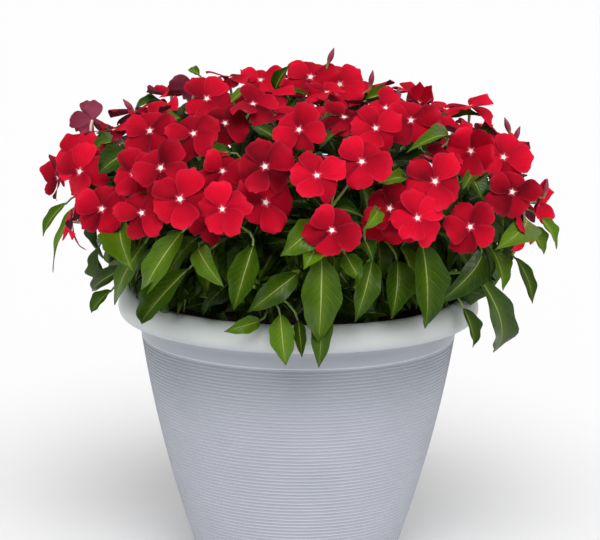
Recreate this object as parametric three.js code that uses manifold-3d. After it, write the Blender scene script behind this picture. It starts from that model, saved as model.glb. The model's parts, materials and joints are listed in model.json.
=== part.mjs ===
// Potted Madagascar periwinkle
//
// A tapered, ribbed patio pot filled with potting mix, and a mound of forked leafy stems with bunches of crimson
// blooms. Millimetres, +Z up, the pot's axis on Z and its flat floor at z = 0. The side that shows best faces -Y.
//
// The plant is laid out by eye as seen from one viewpoint: what shows there is listed by its place on the upright
// plane through the pot's axis and pushed along the sight line onto the mound. The rest is drawn by a seeded rule.

import * as THREE from "three";
import { mergeVertices } from "three/addons/utils/BufferGeometryUtils.js";
import Module from "manifold-3d";

const wasm = await Module();
wasm.setup();

// Driving dimensions

const POT_HEIGHT = 235;
const RIM_RADIUS = 150;
const RIM_EDGE = 213.5;
const POT_WALL = 4;
const POT_FLOOR = 6;
const POT_SIDES = 30;
const WALL_CURVE = { foot: 80, flare: 68.5, bulge: 19, span: 192 };
const RIB_COUNT = 8;
const RIB_DEPTH = 1.2;
const RIBS_BOTTOM = 10;
const RIBS_TOP = 196;
const DRAIN_HOLES = 5;
const DRAIN_RADIUS = 6;
const DRAIN_RING = 52;
const DRAIN_SIDES = 8;

const MIX_TOP = 206;
const MIX_ROUGHNESS = 2.2;
const MIX_SIDES = 14;

const CLEARANCE = 0.35;

// The rounded form that the foliage fills: its radius, the height of its middle, and its reach up and down.
const MOUND = { across: 190, middle: 323, crown: 84, skirt: 220 };
const VIEWPOINT = new THREE.Vector3(0, -2000, 669);

const PETALS = 5;
const PETAL_THICKNESS = 0.9;
const NOTCH_REACH = 0.6;
const PETAL_HALF_ANGLE = 24;
const COLLAR_DEPTH = 1.6;
const TUBE_RADIUS = 1.7;
const TUBE_FOOT = 1.5;
const KNOB_RADIUS = 5.5;
const KNOB_GROWTH = 1.8;
const TUBE_END = 1;
const LONE_TUBE_END = 2.3;
const BUD_LENGTH = 16;
const BUD_SHOULDER = 7;
const SHOOT_DEPTHS = [32, 38, 44, 28, 50, 24, 56];
const BUNCH_COUNT = 42;
const BUNCH_SIZE = 3;

// Blooms drawn round the back: how many, how far apart, their widths, how far down the mound they reach, how
// strongly they crowd towards its top, and how much the turn and the lift of their faces vary, in degrees.
const BACK_BLOOMS = {
  seed: 20377,
  wanted: 50,
  apart: 34,
  narrowest: 42,
  widthSpread: 8,
  reachDown: 1.12,
  crowding: 1.4,
  turnSpread: 30,
  liftSpread: 26,
};

const LEAF_THICKNESS = 1.0;
const STALK_HALF_WIDTH = 1.3;
const STALK_FOOT = 0.75;
const LEAF_FOLD = 0.22;
const LEAF_ARCH = 0.13;
const SMALL_LEAF = 36;
const HOLD_SPACING = 5.5;
const LOWEST_HOLD = 0.15;
const HOLD_FROM_TIP = 11;
const LEAVES_APART = 17;
const LONGEST_STALK = 62;

// Leaves drawn where the viewpoint doesn't reach: the hanging fringe, and small ones between the blooms. Grow and
// level say how far out and how high above the mound's middle they are held, each as a least value and a spread.
const DRAWN_LEAVES = [
  {
    wanted: 32,
    hanging: true,
    frontmost: -0.1,
    grow: [0.84, 0.1],
    level: [-8, -62],
    length: [42, 30],
    width: [16, 0.2],
  },
  {
    wanted: 14,
    hanging: false,
    frontmost: -0.55,
    grow: [0.88, 0.06],
    level: [6, 74],
    length: [24, 12],
    width: [0, 0.42],
  },
];

const STEM_RADIUS = 4;
const SHOOT_RADIUS = 2.3;
const SHOOT_ROOT = 1.1;
const SHOOT_SLACK = 0.05;
const HOLE_DEPTH = 15;
const HOLE_ROOM = 0.8;

// Stems stand in two rings. They fork at a share of the way to their bunches, each further shoot a step higher.
const INNER_SHARE = 0.28;
const STEM_RINGS = [
  { count: 4, foot: 24, low: false },
  { count: 12, foot: 64, low: true },
];
const STUB_HEIGHT = 8;
const FORK_SHARE = 0.42;
const FORK_STEP = 0.14;
const LOW_SHOOT = { radius: 146, height: 266, root: 0.7 };

const UP = new THREE.Vector3(0, 0, 1);
const radians = THREE.MathUtils.degToRad;
const degrees = THREE.MathUtils.radToDeg;

// Blooms that show from the viewpoint, the foremost first: place across and up on the upright plane through the
// axis, the turn to the right and the turn upwards of the face, the spin of the first petal clockwise from the
// top, the width across the petals, the form, and how far behind the mound's face the bloom sits.
const CUPPED = 6;
const HALF_OPEN = 7;
const FRONT_BLOOMS = [
  [-29, 337, 0, 25, -17, 48, 0, 0],
  [-99, 309, -5, 28, 20, 50, 1, 0],
  [27, 284, 5, 8, 42, 45, 2, 0],
  [-1, 368, -5, 26, 24, 45, 3, 0],
  [-77, 393, -5, 42, 30, 46, 4, 0],
  [8, 412, 0, 38, 10, 47, 5, 0],
  [62, 370, 15, 36, 65, 44, 1, 0],
  [51, 342, 0, 24, 38, 47, 2, 0],
  [-88, 364, -12, 38, 48, 45, 0, 0],
  [-115, 335, -8, 28, 32, 48, 3, 0],
  [98, 295, 15, 35, 65, 47, 4, 0],
  [176, 318, 15, 22, 15, 46, 5, 0],
  [-64, 301, -25, 12, 60, 46, 2, 0],
  [-131, 297, -5, 30, 50, 44, 0, 0],
  [112, 326, 5, 30, 30, 50, 1, 0],
  [142, 288, 10, 12, 50, 46, 3, 0],
  [91, 377, 10, 28, 5, 46, 5, 0],
  [-182, 331, -38, 22, 0, 50, 4, 0],
  [197, 309, 65, 5, 0, 42, CUPPED, 0],
  [-164, 300, -8, 10, 8, 46, 2, 0],
  [32, 406, 5, 30, 48, 46, 0, 0],
  [14, 330, 10, 38, 65, 46, 1, 0],
  [-75, 289, -12, -30, 36, 36, CUPPED, 8],
  [-39, 389, 0, 62, 0, 45, 3, 0],
  [-124, 366, -8, 27, -5, 46, 5, 0],
  [-62, 373, 10, 38, 45, 42, 0, 8],
  [-28, 307, 5, 2, 15, 49, 4, 8],
  [36, 379, 5, 58, 40, 42, 2, 0],
  [139, 389, -15, 86, 20, 48, 1, 0],
  [141, 352, -8, -4, 36, 46, CUPPED, 4],
  [75, 303, 0, 20, 20, 44, 3, 12],
  [77, 290, -5, -6, 36, 46, 5, 16],
  [168, 347, 8, 32, 20, 48, 0, 10],
  [-64, 333, 22, 18, 30, 42, 2, 10],
  [-138, 330, -15, 25, 50, 42, 4, 14],
  [-185, 345, -25, 30, 36, 48, 1, 6],
  [-200, 326, -62, 2, 0, 42, CUPPED, 4],
  [70, 387, 5, 50, 20, 40, 3, 0],
  [-87, 402, -8, 130, 20, 42, 5, 0],
  [-58, 411, 5, 86, 50, 40, 0, 6],
  [-33, 409, 0, 48, 10, 40, 2, 8],
  [97, 391, 8, 50, 0, 36, HALF_OPEN, 0],
  [-171, 374, -20, 138, 30, 42, 1, 0],
  [113, 346, 0, 80, 10, 44, 3, 10],
];

// Leaves that show from the viewpoint: across and up of the base, across and up of the tip, and the width.
const FRONT_LEAVES = [
  [19, 262, 18, 188, 31],
  [102, 275, 107, 201, 29],
  [-97, 282, -133, 222, 24],
  [-38, 270, -53, 215, 22],
  [15, 289, -15, 261, 24],
  [-148, 288, -138, 248, 26],
  [182, 299, 162, 270, 25],
  [82, 259, 79, 209, 23],
  [61, 259, 48, 206, 21],
  [152, 265, 114, 220, 24],
  [149, 247, 163, 181, 20],
  [-91, 251, -131, 202, 22],
  [-1, 247, -42, 213, 20],
  [20, 230, 18, 166, 17],
  [-84, 268, -63, 234, 20],
  [16, 275, 5, 250, 19],
  [39, 263, 52, 239, 17],
  [55, 275, 62, 258, 14],
  [-128, 272, -154, 219, 18],
  [-142, 252, -172, 230, 14],
  [-156, 231, -173, 211, 10],
  [161, 268, 171, 234, 17],
  [180, 263, 195, 223, 11],
  [188, 288, 204, 266, 15],
  [200, 296, 214, 270, 15],
  [138, 219, 147, 185, 14],
  [-15, 212, -11, 168, 20],
  [0, 207, 4, 175, 10],
  [-32, 206, -62, 196, 13],
  [-193, 305, -213, 276, 9],
  [-182, 304, -205, 246, 11],
  [-21, 401, -9, 421, 10],
  [-59, 388, -38, 401, 9],
  [-19, 393, 8, 397, 10],
  [-20, 360, -41, 371, 13],
  [-58, 349, -78, 341, 14],
  [-138, 349, -166, 329, 20],
  [-150, 356, -161, 346, 9],
  [-151, 359, -168, 364, 12],
  [53, 393, 78, 397, 10],
  [123, 379, 152, 380, 11],
  [149, 365, 159, 374, 8],
  [34, 366, 15, 352, 14],
  [122, 362, 88, 349, 14],
  [86, 329, 64, 323, 10],
  [139, 332, 151, 312, 20],
  [141, 332, 134, 319, 10],
  [-83, 413, -93, 416, 9],
  [65, 301, 53, 284, 13],
  [-5, 326, 8, 309, 12],
];

// Buds that show from the viewpoint: across and up of the tip, and the lean to the right.
const FRONT_BUDS = [
  [27, 436, 20],
  [59, 418, 8],
  [80, 404, 0],
  [-146, 392, -40],
  [181, 373, 20],
  [168, 380, -20],
  [205, 329, 10],
  [18, 347, -60],
];

// Small helpers

function seededDraws(seed) {
  let state = seed;
  return () => {
    state = (state * 48271) % 2147483647;
    return state / 2147483647;
  };
}

function mix(from, to, share) {
  return from.clone().lerp(to, share);
}

function across(direction, hint) {
  return hint.clone().addScaledVector(direction, -hint.dot(direction)).normalize();
}

// Solids

function enclosedVolume(points, faces) {
  let sum = 0;
  for (const [a, b, c] of faces) {
    sum += points[a].dot(points[b].clone().cross(points[c]));
  }
  return sum / 6;
}

function solidOf(points, faces) {
  const outward = enclosedVolume(points, faces) > 0;
  const corners = faces.flatMap(([a, b, c]) => (outward ? [a, b, c] : [a, c, b]));
  const mesh = new wasm.Mesh({
    numProp: 3,
    vertProperties: new Float32Array(points.flatMap((point) => point.toArray())),
    triVerts: new Uint32Array(corners),
  });
  return new wasm.Manifold(mesh);
}

function solidFromGeometry(geometry) {
  geometry.deleteAttribute("normal");
  geometry.deleteAttribute("uv");
  const merged = mergeVertices(geometry, 1e-4);
  const places = merged.getAttribute("position");
  const points = [];
  for (let index = 0; index < places.count; index += 1) {
    points.push(new THREE.Vector3().fromBufferAttribute(places, index));
  }
  const faces = [];
  for (let corner = 0; corner < merged.index.count; corner += 3) {
    const [a, b, c] = [0, 1, 2].map((step) => merged.index.getX(corner + step));
    if (a !== b && b !== c && c !== a) faces.push([a, b, c]);
  }
  return solidOf(points, faces);
}

function latheSolid(outline, sides) {
  const profile = outline.map(([radius, height]) => new THREE.Vector2(radius, height));
  return solidFromGeometry(new THREE.LatheGeometry(profile, sides).rotateX(Math.PI / 2));
}

const STEEP = 0.8;
const ROD_PHASE = 0.2;
const LIMB_SIDES = 3;
const LIMB_PHASE = 0.5;

// A limb of a few sides that follows a line of places, with its own radius at each. The phase turns its corners.
function limbSolid(places, radii, sides, phase) {
  const points = [];
  let side = null;
  places.forEach((place, index) => {
    const before = places[Math.max(index - 1, 0)];
    const after = places[Math.min(index + 1, places.length - 1)];
    const way = after.clone().sub(before).normalize();
    side = across(way, side ?? (Math.abs(way.z) > STEEP ? new THREE.Vector3(1, 0, 0) : UP));
    const other = way.clone().cross(side);
    for (let corner = 0; corner < sides; corner += 1) {
      const turn = (2 * Math.PI * (corner + phase)) / sides;
      const point = place.clone().addScaledVector(side, radii[index] * Math.cos(turn));
      points.push(point.addScaledVector(other, radii[index] * Math.sin(turn)));
    }
  });
  const faces = [];
  const last = points.length - sides;
  for (let ring = 0; ring < last; ring += sides) {
    for (let corner = 0; corner < sides; corner += 1) {
      const next = (corner + 1) % sides;
      faces.push([ring + corner, ring + next, ring + sides + next]);
      faces.push([ring + corner, ring + sides + next, ring + sides + corner]);
    }
  }
  for (let corner = 1; corner < sides - 1; corner += 1) {
    faces.push([0, corner + 1, corner], [last, last + corner, last + corner + 1]);
  }
  return solidOf(points, faces);
}

function rodSolid(from, to, radius, endRadius, sides) {
  return limbSolid([from, to], [radius, endRadius], sides, ROD_PHASE);
}

function joined(solids) {
  return solids.reduce((whole, solid) => whole.add(solid));
}

function boxesMeet(one, other) {
  const a = one.boundingBox();
  const b = other.boundingBox();
  return [0, 1, 2].every((axis) => a.min[axis] < b.max[axis] && b.min[axis] < a.max[axis]);
}

function cutBy(solid, tools) {
  let left = solid;
  for (const tool of tools) {
    if (!left.isEmpty() && boxesMeet(left, tool)) left = left.subtract(tool);
  }
  return left;
}

// Corners closer together than a step of the grid are one corner. The first grid is used on which each edge is
// still shared by just two faces.
const CORNER_GRIDS = [0.002, 0.003, 0.005, 0.008, 0.012, 0.001];

function eachEdgeTwice(faces) {
  const uses = new Map();
  for (const corners of faces) {
    corners.forEach((corner, step) => {
      const next = corners[(step + 1) % corners.length];
      const key = `${Math.min(corner, next)} ${Math.max(corner, next)}`;
      uses.set(key, (uses.get(key) ?? 0) + 1);
    });
  }
  return [...uses.values()].every((count) => count === 2);
}

function withoutSlivers(solid, grid) {
  const { vertProperties, triVerts } = solid.getMesh();
  const points = [];
  const known = new Map();
  const renamed = [];
  for (let index = 0; index < vertProperties.length; index += 3) {
    const place = [0, 1, 2].map((axis) => Math.round(vertProperties[index + axis] / grid));
    const key = place.join(" ");
    if (!known.has(key)) {
      known.set(key, points.length);
      points.push(new THREE.Vector3(...place).multiplyScalar(grid));
    }
    renamed.push(known.get(key));
  }
  const faces = [];
  for (let index = 0; index < triVerts.length; index += 3) {
    const [a, b, c] = [0, 1, 2].map((step) => renamed[triVerts[index + step]]);
    if (a !== b && b !== c && c !== a) faces.push([a, b, c]);
  }
  return eachEdgeTwice(faces) ? solidOf(points, faces) : null;
}

function largestBody(solid) {
  const bodies = solid.decompose();
  const largest = bodies.reduce((best, body) => (body.volume() > best.volume() ? body : best));
  for (const grid of CORNER_GRIDS) {
    const clean = withoutSlivers(largest, grid);
    if (clean !== null && clean.decompose().length === 1) return clean;
  }
  throw new Error("no grid leaves this body closed");
}

// Pot and potting mix

const INNER_HEIGHTS = [192, 100];
const MIX_WAVES = [13, 11];
const MIX_RINGS = [0.75, 0.5, 0.25, 0];
const SURFACE_BAND = 1;

function profileRadius(height) {
  const share = height / WALL_CURVE.span;
  return WALL_CURVE.foot + WALL_CURVE.flare * share - WALL_CURVE.bulge * share * share;
}

function ribbedWall() {
  const outline = [];
  const pitch = (RIBS_TOP - RIBS_BOTTOM) / RIB_COUNT;
  for (let rib = 0; rib < RIB_COUNT; rib += 1) {
    const groove = RIBS_BOTTOM + rib * pitch;
    const crest = groove + pitch / 2;
    outline.push([profileRadius(groove) - RIB_DEPTH, groove], [profileRadius(crest), crest]);
  }
  return outline;
}

function innerWall(clearance) {
  return INNER_HEIGHTS.map((height) => [profileRadius(height) - POT_WALL - clearance, height]);
}

// Radii and heights from the middle of the floor up the ribbed wall, round the rolled rim and down the inside.
function potSolid(grown) {
  const outline = [
    [0, -grown],
    [profileRadius(0) - 2 + grown, -grown],
    [profileRadius(3) + grown, 3],
    ...ribbedWall().map(([radius, height]) => [radius + grown, height]),
    [131 + grown, RIBS_TOP + 2],
    [132.5 + grown, 207],
    [134.5 + grown, 224 - grown],
    [141 - grown, 229.5 - grown],
    [146.3 - grown, RIM_EDGE + 9],
    [143 - grown, RIM_EDGE + 3 - grown],
    [146, RIM_EDGE - grown],
    [RIM_RADIUS + grown, RIM_EDGE + 7],
    [148.5 + grown, RIM_EDGE + 15],
    [142, POT_HEIGHT + grown],
    [135, 233 + grown],
    [129.5 - grown, 225],
    ...innerWall(grown),
    [profileRadius(POT_FLOOR) - POT_WALL - grown, POT_FLOOR + grown],
    [0, POT_FLOOR + grown],
  ];
  return latheSolid(outline, POT_SIDES);
}

function pot() {
  const drains = [];
  for (let hole = 0; hole < DRAIN_HOLES; hole += 1) {
    const turn = (2 * Math.PI * hole) / DRAIN_HOLES;
    const middle = new THREE.Vector3(DRAIN_RING * Math.cos(turn), DRAIN_RING * Math.sin(turn), -1);
    const top = middle.clone().setZ(POT_FLOOR + 1);
    drains.push(rodSolid(middle, top, DRAIN_RADIUS, DRAIN_RADIUS, DRAIN_SIDES));
  }
  return drains.reduce((shell, drain) => shell.subtract(drain), potSolid(0));
}

function mixHeight(x, y) {
  return MIX_TOP + MIX_ROUGHNESS * Math.sin(x / MIX_WAVES[0]) * Math.cos(y / MIX_WAVES[1]);
}

function mixSolid(clearance) {
  const edge = profileRadius(MIX_TOP) - POT_WALL - CLEARANCE + 1;
  const outline = [
    [0, POT_FLOOR + CLEARANCE],
    [profileRadius(POT_FLOOR) - POT_WALL - 1, POT_FLOOR + CLEARANCE],
    ...innerWall(1).reverse(),
    [edge - 3, MIX_TOP],
    ...MIX_RINGS.map((share) => [edge * share, MIX_TOP]),
  ];
  const profile = outline.map(([radius, height]) => new THREE.Vector2(radius, height));
  const geometry = new THREE.LatheGeometry(profile, MIX_SIDES).rotateX(Math.PI / 2);
  const places = geometry.getAttribute("position");
  for (let index = 0; index < places.count; index += 1) {
    if (places.getZ(index) > MIX_TOP - SURFACE_BAND) {
      places.setZ(index, mixHeight(places.getX(index), places.getY(index)) + clearance);
    }
  }
  return solidFromGeometry(geometry);
}

// The mound

const CLEAR_OF_MOUND = 0.8;
const HALVINGS = 40;

function outsideMound(point, grow) {
  const tall = point.z > MOUND.middle ? MOUND.crown : MOUND.skirt;
  const flat = (point.x * point.x + point.y * point.y) / (MOUND.across * MOUND.across);
  const high = ((point.z - MOUND.middle) / tall) ** 2;
  return flat + high > grow * grow;
}

function onMound(acrossPlane, upPlane, grow, nearer) {
  const sight = new THREE.Vector3(acrossPlane, 0, upPlane).sub(VIEWPOINT);
  const at = (share) => VIEWPOINT.clone().addScaledVector(sight, share);
  let outside = CLEAR_OF_MOUND;
  let inside = 1;
  if (!outsideMound(at(inside), grow)) {
    for (let halving = 0; halving < HALVINGS; halving += 1) {
      const middle = (outside + inside) / 2;
      if (outsideMound(at(middle), grow)) outside = middle;
      else inside = middle;
    }
  }
  return at(inside - nearer / sight.length());
}

function moundNormal(point) {
  const tall = point.z > MOUND.middle ? MOUND.crown : MOUND.skirt;
  const flat = 1 / (MOUND.across * MOUND.across);
  return new THREE.Vector3(point.x * flat, point.y * flat, (point.z - MOUND.middle) / (tall * tall)).normalize();
}

// Flat discs stand for petals and blades, and straight needles for tubes and stalks, where the layout tests
// whether two pieces would grow through each other.

const SHEET_GAP = 2;
const NEARLY_PARALLEL = 0.12;

function discsCross(a, b) {
  const between = b.centre.clone().sub(a.centre);
  const reach = a.radius + b.radius;
  if (between.lengthSq() > reach * reach) return false;
  const line = a.facing.clone().cross(b.facing);
  const bend = line.length();
  if (bend < NEARLY_PARALLEL) return Math.abs(between.dot(a.facing)) < SHEET_GAP;
  line.divideScalar(bend);
  const inward = line.clone().cross(a.facing);
  const offset = between.dot(b.facing) / inward.dot(b.facing);
  const halfA = a.radius * a.radius - offset * offset;
  if (halfA <= 0) return false;
  const fromB = inward.multiplyScalar(offset).sub(between);
  const along = fromB.dot(line);
  const halfB = b.radius * b.radius - (fromB.lengthSq() - along * along);
  if (halfB <= 0) return false;
  return Math.abs(along) < Math.sqrt(halfA) + Math.sqrt(halfB);
}

function needleCrosses(needle, disc) {
  const start = needle.from.clone().sub(disc.centre);
  const way = needle.to.clone().sub(needle.from);
  const before = start.dot(disc.facing);
  const rise = way.dot(disc.facing);
  if (before * (before + rise) > 0) return false;
  const hit = start.addScaledVector(way, rise === 0 ? 0 : -before / rise);
  const reach = disc.radius + SHEET_GAP;
  return hit.lengthSq() < reach * reach;
}

function crossings(item, others) {
  let count = 0;
  for (const other of others) {
    const hit = item.discs.some((disc) => other.discs.some((face) => discsCross(disc, face)))
      || item.discs.some((disc) => other.needles.some((needle) => needleCrosses(needle, disc)))
      || item.needles.some((needle) => other.discs.some((disc) => needleCrosses(needle, disc)));
    if (hit) count += 1;
  }
  return count;
}

function clearest(choices, make, others) {
  let best = null;
  for (const choice of choices) {
    const item = make(choice);
    item.crossed = crossings(item, others);
    if (item.crossed === 0) return item;
    if (best === null || item.crossed < best.crossed) best = item;
  }
  return best;
}

// Layout of the blooms

// A bloom's discs: their levels along its facing, and their radii as shares of its width.
const FLAT_LEVELS = [-2.5, 1.5];
const FLAT_SPREAD = 0.5;
const DEEP_LEVELS = [-1, 4, 9];
const DEEP_SPREAD = 0.3;
const DEEP_WIDENING = 0.018;

function makeBloom(centre, turn, lift, spin, width, form) {
  const [yaw, pitch] = [radians(turn), radians(lift)];
  const facing = new THREE.Vector3(
    Math.sin(yaw) * Math.cos(pitch),
    -Math.cos(yaw) * Math.cos(pitch),
    Math.sin(pitch),
  );
  const upright = new THREE.Vector3(
    -Math.sin(yaw) * Math.sin(pitch),
    Math.cos(yaw) * Math.sin(pitch),
    Math.cos(pitch),
  );
  const deep = form >= CUPPED;
  const discs = (deep ? DEEP_LEVELS : FLAT_LEVELS).map((level) => {
    const spread = deep ? DEEP_SPREAD + DEEP_WIDENING * level : FLAT_SPREAD;
    return { centre: centre.clone().addScaledVector(facing, level), facing, radius: width * spread };
  });
  return { centre, facing, upright, spin: radians(spin), width, form, discs, needles: [] };
}

const SLIDES = [0, -4, -8, -12, 4, -16, 8, -20, 12, -25, 16, 20];
const MOST_TRIES = 4000;
const FACES_VIEWPOINT = 0.3;
const BLOOM_TO_LIGHT = 0.3;
const BEHIND_PETALS = 4;
const BUD_GROW = 1.02;

function placeBlooms() {
  const blooms = [];
  for (const [acrossPlane, upPlane, turn, lift, spin, width, form, behind] of FRONT_BLOOMS) {
    const make = (slide) => {
      return makeBloom(onMound(acrossPlane, upPlane, 1, slide - behind), turn, lift, spin, width, form);
    };
    blooms.push(clearest(SLIDES, make, blooms));
  }
  const back = BACK_BLOOMS;
  const draw = seededDraws(back.seed);
  let drawn = 0;
  for (let attempt = 0; attempt < MOST_TRIES && drawn < back.wanted; attempt += 1) {
    const compass = 2 * Math.PI * draw();
    const height = 1 - back.reachDown * draw() ** back.crowding;
    const flat = Math.sqrt(1 - height * height) * MOUND.across;
    const tall = height > 0 ? MOUND.crown : MOUND.skirt;
    const place = new THREE.Vector3(
      flat * Math.cos(compass),
      flat * Math.sin(compass),
      MOUND.middle + height * tall,
    );
    const [jitterTurn, jitterLift, spin, size, form] = [draw(), draw(), draw(), draw(), draw()];
    const normal = moundNormal(place);
    const sight = VIEWPOINT.clone().sub(place).normalize();
    if (normal.dot(sight) > FACES_VIEWPOINT) continue;
    if (blooms.some((bloom) => bloom.centre.distanceTo(place) < back.apart)) continue;
    normal.addScaledVector(UP, BLOOM_TO_LIGHT).normalize();
    const turn = degrees(Math.atan2(normal.x, -normal.y)) + back.turnSpread * (jitterTurn - 0.5);
    const lift = degrees(Math.asin(normal.z)) + back.liftSpread * (jitterLift - 0.5);
    const make = (slide) => makeBloom(
      place.clone().addScaledVector(normal, slide),
      turn,
      lift,
      (360 / PETALS) * spin,
      back.narrowest + back.widthSpread * size,
      Math.floor(HALF_OPEN * form),
    );
    const bloom = clearest(SLIDES, make, blooms);
    if (bloom.crossed > 0) continue;
    blooms.push(bloom);
    drawn += 1;
  }
  return blooms;
}

// Up to three neighbouring blooms make a bunch, whose tubes meet at the tip of a shoot.

function compassOf(point) {
  return Math.atan2(point.y, point.x);
}

function meanOf(points) {
  const sum = points.reduce((total, point) => total.add(point), new THREE.Vector3());
  return sum.divideScalar(points.length);
}

function gatherBunches(blooms) {
  const bunches = blooms.map((bloom) => ({ members: [bloom], middle: bloom.centre.clone(), buds: [] }));
  while (bunches.length > BUNCH_COUNT) {
    let closest = null;
    for (let one = 0; one < bunches.length; one += 1) {
      for (let other = one + 1; other < bunches.length; other += 1) {
        if (bunches[one].members.length + bunches[other].members.length > BUNCH_SIZE) continue;
        const gap = bunches[one].middle.distanceTo(bunches[other].middle);
        if (closest === null || gap < closest.gap) closest = { one, other, gap };
      }
    }
    const [merged] = bunches.splice(closest.other, 1);
    const host = bunches[closest.one];
    host.members.push(...merged.members);
    host.middle = meanOf(host.members.map((bloom) => bloom.centre));
  }
  for (const bunch of bunches) chooseTip(bunch, bunches);
  return bunches;
}

// The tip of the shoot lies under its bunch, at the depth where its tubes clear the other blooms.
function chooseTip(bunch, bunches) {
  const normal = moundNormal(bunch.middle);
  const others = bunches.flatMap((other) => other.members);
  const make = (depth) => {
    const tip = bunch.middle.clone().addScaledVector(normal, -depth);
    const needles = bunch.members.map((bloom) => {
      return { from: bloom.centre.clone().addScaledVector(bloom.facing, -BEHIND_PETALS), to: tip };
    });
    return { tip, discs: [], needles };
  };
  const best = clearest(SHOOT_DEPTHS, make, others);
  bunch.tip = best.tip;
  bunch.members.forEach((bloom, index) => {
    bloom.needles = [best.needles[index]];
  });
}

function placeBuds(bunches) {
  for (const [acrossPlane, upPlane, lean] of FRONT_BUDS) {
    const tip = onMound(acrossPlane, upPlane, BUD_GROW, 0);
    const distance = (bunch) => bunch.tip.distanceTo(tip);
    const bunch = bunches.reduce((best, other) => (distance(other) < distance(best) ? other : best));
    const way = new THREE.Vector3(Math.sin(radians(lean)), 0, Math.cos(radians(lean)));
    bunch.buds.push({ tip, base: tip.clone().addScaledVector(way, -BUD_LENGTH) });
  }
}

// Layout of the stems: feet in two rings, each stem forked into the shoots of a few neighbouring bunches.

function placeStems(bunches) {
  const byCompass = (a, b) => compassOf(a.tip) - compassOf(b.tip);
  const radius = (bunch) => Math.hypot(bunch.tip.x, bunch.tip.y);
  const sorted = bunches.slice().sort((a, b) => radius(a) - radius(b));
  const innerCount = Math.round(sorted.length * INNER_SHARE);
  const shares = [sorted.slice(0, innerCount), sorted.slice(innerCount)];
  const stems = [];
  STEM_RINGS.forEach((ring, inOrOut) => {
    const sharers = shares[inOrOut].sort(byCompass);
    for (let index = 0; index < ring.count; index += 1) {
      const first = Math.round((index * sharers.length) / ring.count);
      const last = Math.round(((index + 1) * sharers.length) / ring.count);
      const held = sharers.slice(first, last);
      const tips = held.map((bunch) => bunch.tip);
      const middle = meanOf(tips);
      const compass = compassOf(middle);
      const foot = new THREE.Vector3(ring.foot * Math.cos(compass), ring.foot * Math.sin(compass), 0);
      foot.z = MIX_TOP - HOLE_DEPTH;
      const top = foot.clone().setZ(MIX_TOP + STUB_HEIGHT);
      const fork = mix(top, middle, FORK_SHARE);
      const shoots = held.map((bunch, order) => {
        return { from: mix(fork, tips[0], FORK_STEP * order), to: bunch.tip, bunch, holds: [] };
      });
      if (ring.low) {
        const { radius: reach, height, root } = LOW_SHOOT;
        const low = new THREE.Vector3(reach * Math.cos(compass), reach * Math.sin(compass), height);
        shoots.push({ from: mix(top, fork, root), to: low, bunch: null, holds: [] });
      }
      stems.push({ foot, top, fork, shoots, leaves: [] });
    }
  });
  return stems;
}

// Layout of the leaves

const LEAF_SEED = 911;
const FRINGE_TOP = 300;
const LEAF_BASE_GROW = 0.9;
const LEAF_TIP_GROW = 0.94;
const LEAF_TO_LIGHT = 0.12;
const TURN_TO_VIEWPOINT = 1.2;
const DISC_SHARES = [0.22, 0.5, 0.78];
const WIDTH_TO_DISC = 0.42;
const LENGTH_TO_DISC = 0.15;
const HOLD_ROOM = 0.9;
const ANY_TURN = 7;
const ANY_DROP = 0.2;
const LEAF_SWAY = 1.1;
const LEAF_OUT = 0.22;
const LEAF_SLIDES = [[0, 0], [6, 6], [-6, -6], [0, 8], [12, 12], [-12, -6], [8, 0], [-18, -12], [18, 18]];

// The free place on a shoot that lies nearest to a point. Leaves are held a little apart from each other.
function nearestOnShoot(shoot, point) {
  const way = shoot.to.clone().sub(shoot.from);
  const length = way.length();
  const highest = 1 - HOLD_FROM_TIP / length;
  const step = HOLD_SPACING / length;
  const share = point.clone().sub(shoot.from).dot(way) / way.lengthSq();
  const wanted = Math.min(Math.max(share, LOWEST_HOLD), highest);
  for (let offset = 0; offset < 1; offset += step) {
    for (const tried of [wanted - offset, wanted + offset]) {
      const free = shoot.holds.every((held) => Math.abs(held - tried) > HOLD_ROOM * step);
      if (free && tried >= LOWEST_HOLD && tried <= highest) return tried;
    }
  }
  return wanted;
}

function nearestStem(stems, point) {
  let best = null;
  for (const stem of stems) {
    for (const shoot of stem.shoots) {
      const share = nearestOnShoot(shoot, point);
      const place = mix(shoot.from, shoot.to, share);
      const gap = place.distanceTo(point);
      if (best === null || gap < best.gap) best = { stem, shoot, share, place, gap };
    }
  }
  return best;
}

// The blade turns its face outwards, and a leaf that shows from the viewpoint also turns it to the viewpoint.
function makeLeaf(base, tip, width, stems, shows) {
  const chord = tip.clone().sub(base);
  const length = chord.length();
  const way = chord.divideScalar(length);
  const middle = mix(base, tip, 0.5);
  const outward = moundNormal(middle);
  if (middle.z < MOUND.middle) outward.set(middle.x, middle.y, 0).normalize();
  if (shows) outward.addScaledVector(VIEWPOINT.clone().sub(middle).normalize(), TURN_TO_VIEWPOINT);
  const normal = across(way, outward.addScaledVector(UP, LEAF_TO_LIGHT));
  const hold = nearestStem(stems, base);
  const arch = length * LEAF_ARCH;
  const discs = DISC_SHARES.map((share) => ({
    centre: mix(base, tip, share).addScaledVector(normal, arch * 4 * share * (1 - share)),
    facing: normal.clone().addScaledVector(way, -4 * LEAF_ARCH * (1 - 2 * share)).normalize(),
    radius: Math.max(width * WIDTH_TO_DISC, length * LENGTH_TO_DISC),
  }));
  const needles = [{ from: hold.place, to: base }];
  return { base, tip, way, normal, length, width, arch, hold, discs, needles };
}

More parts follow.
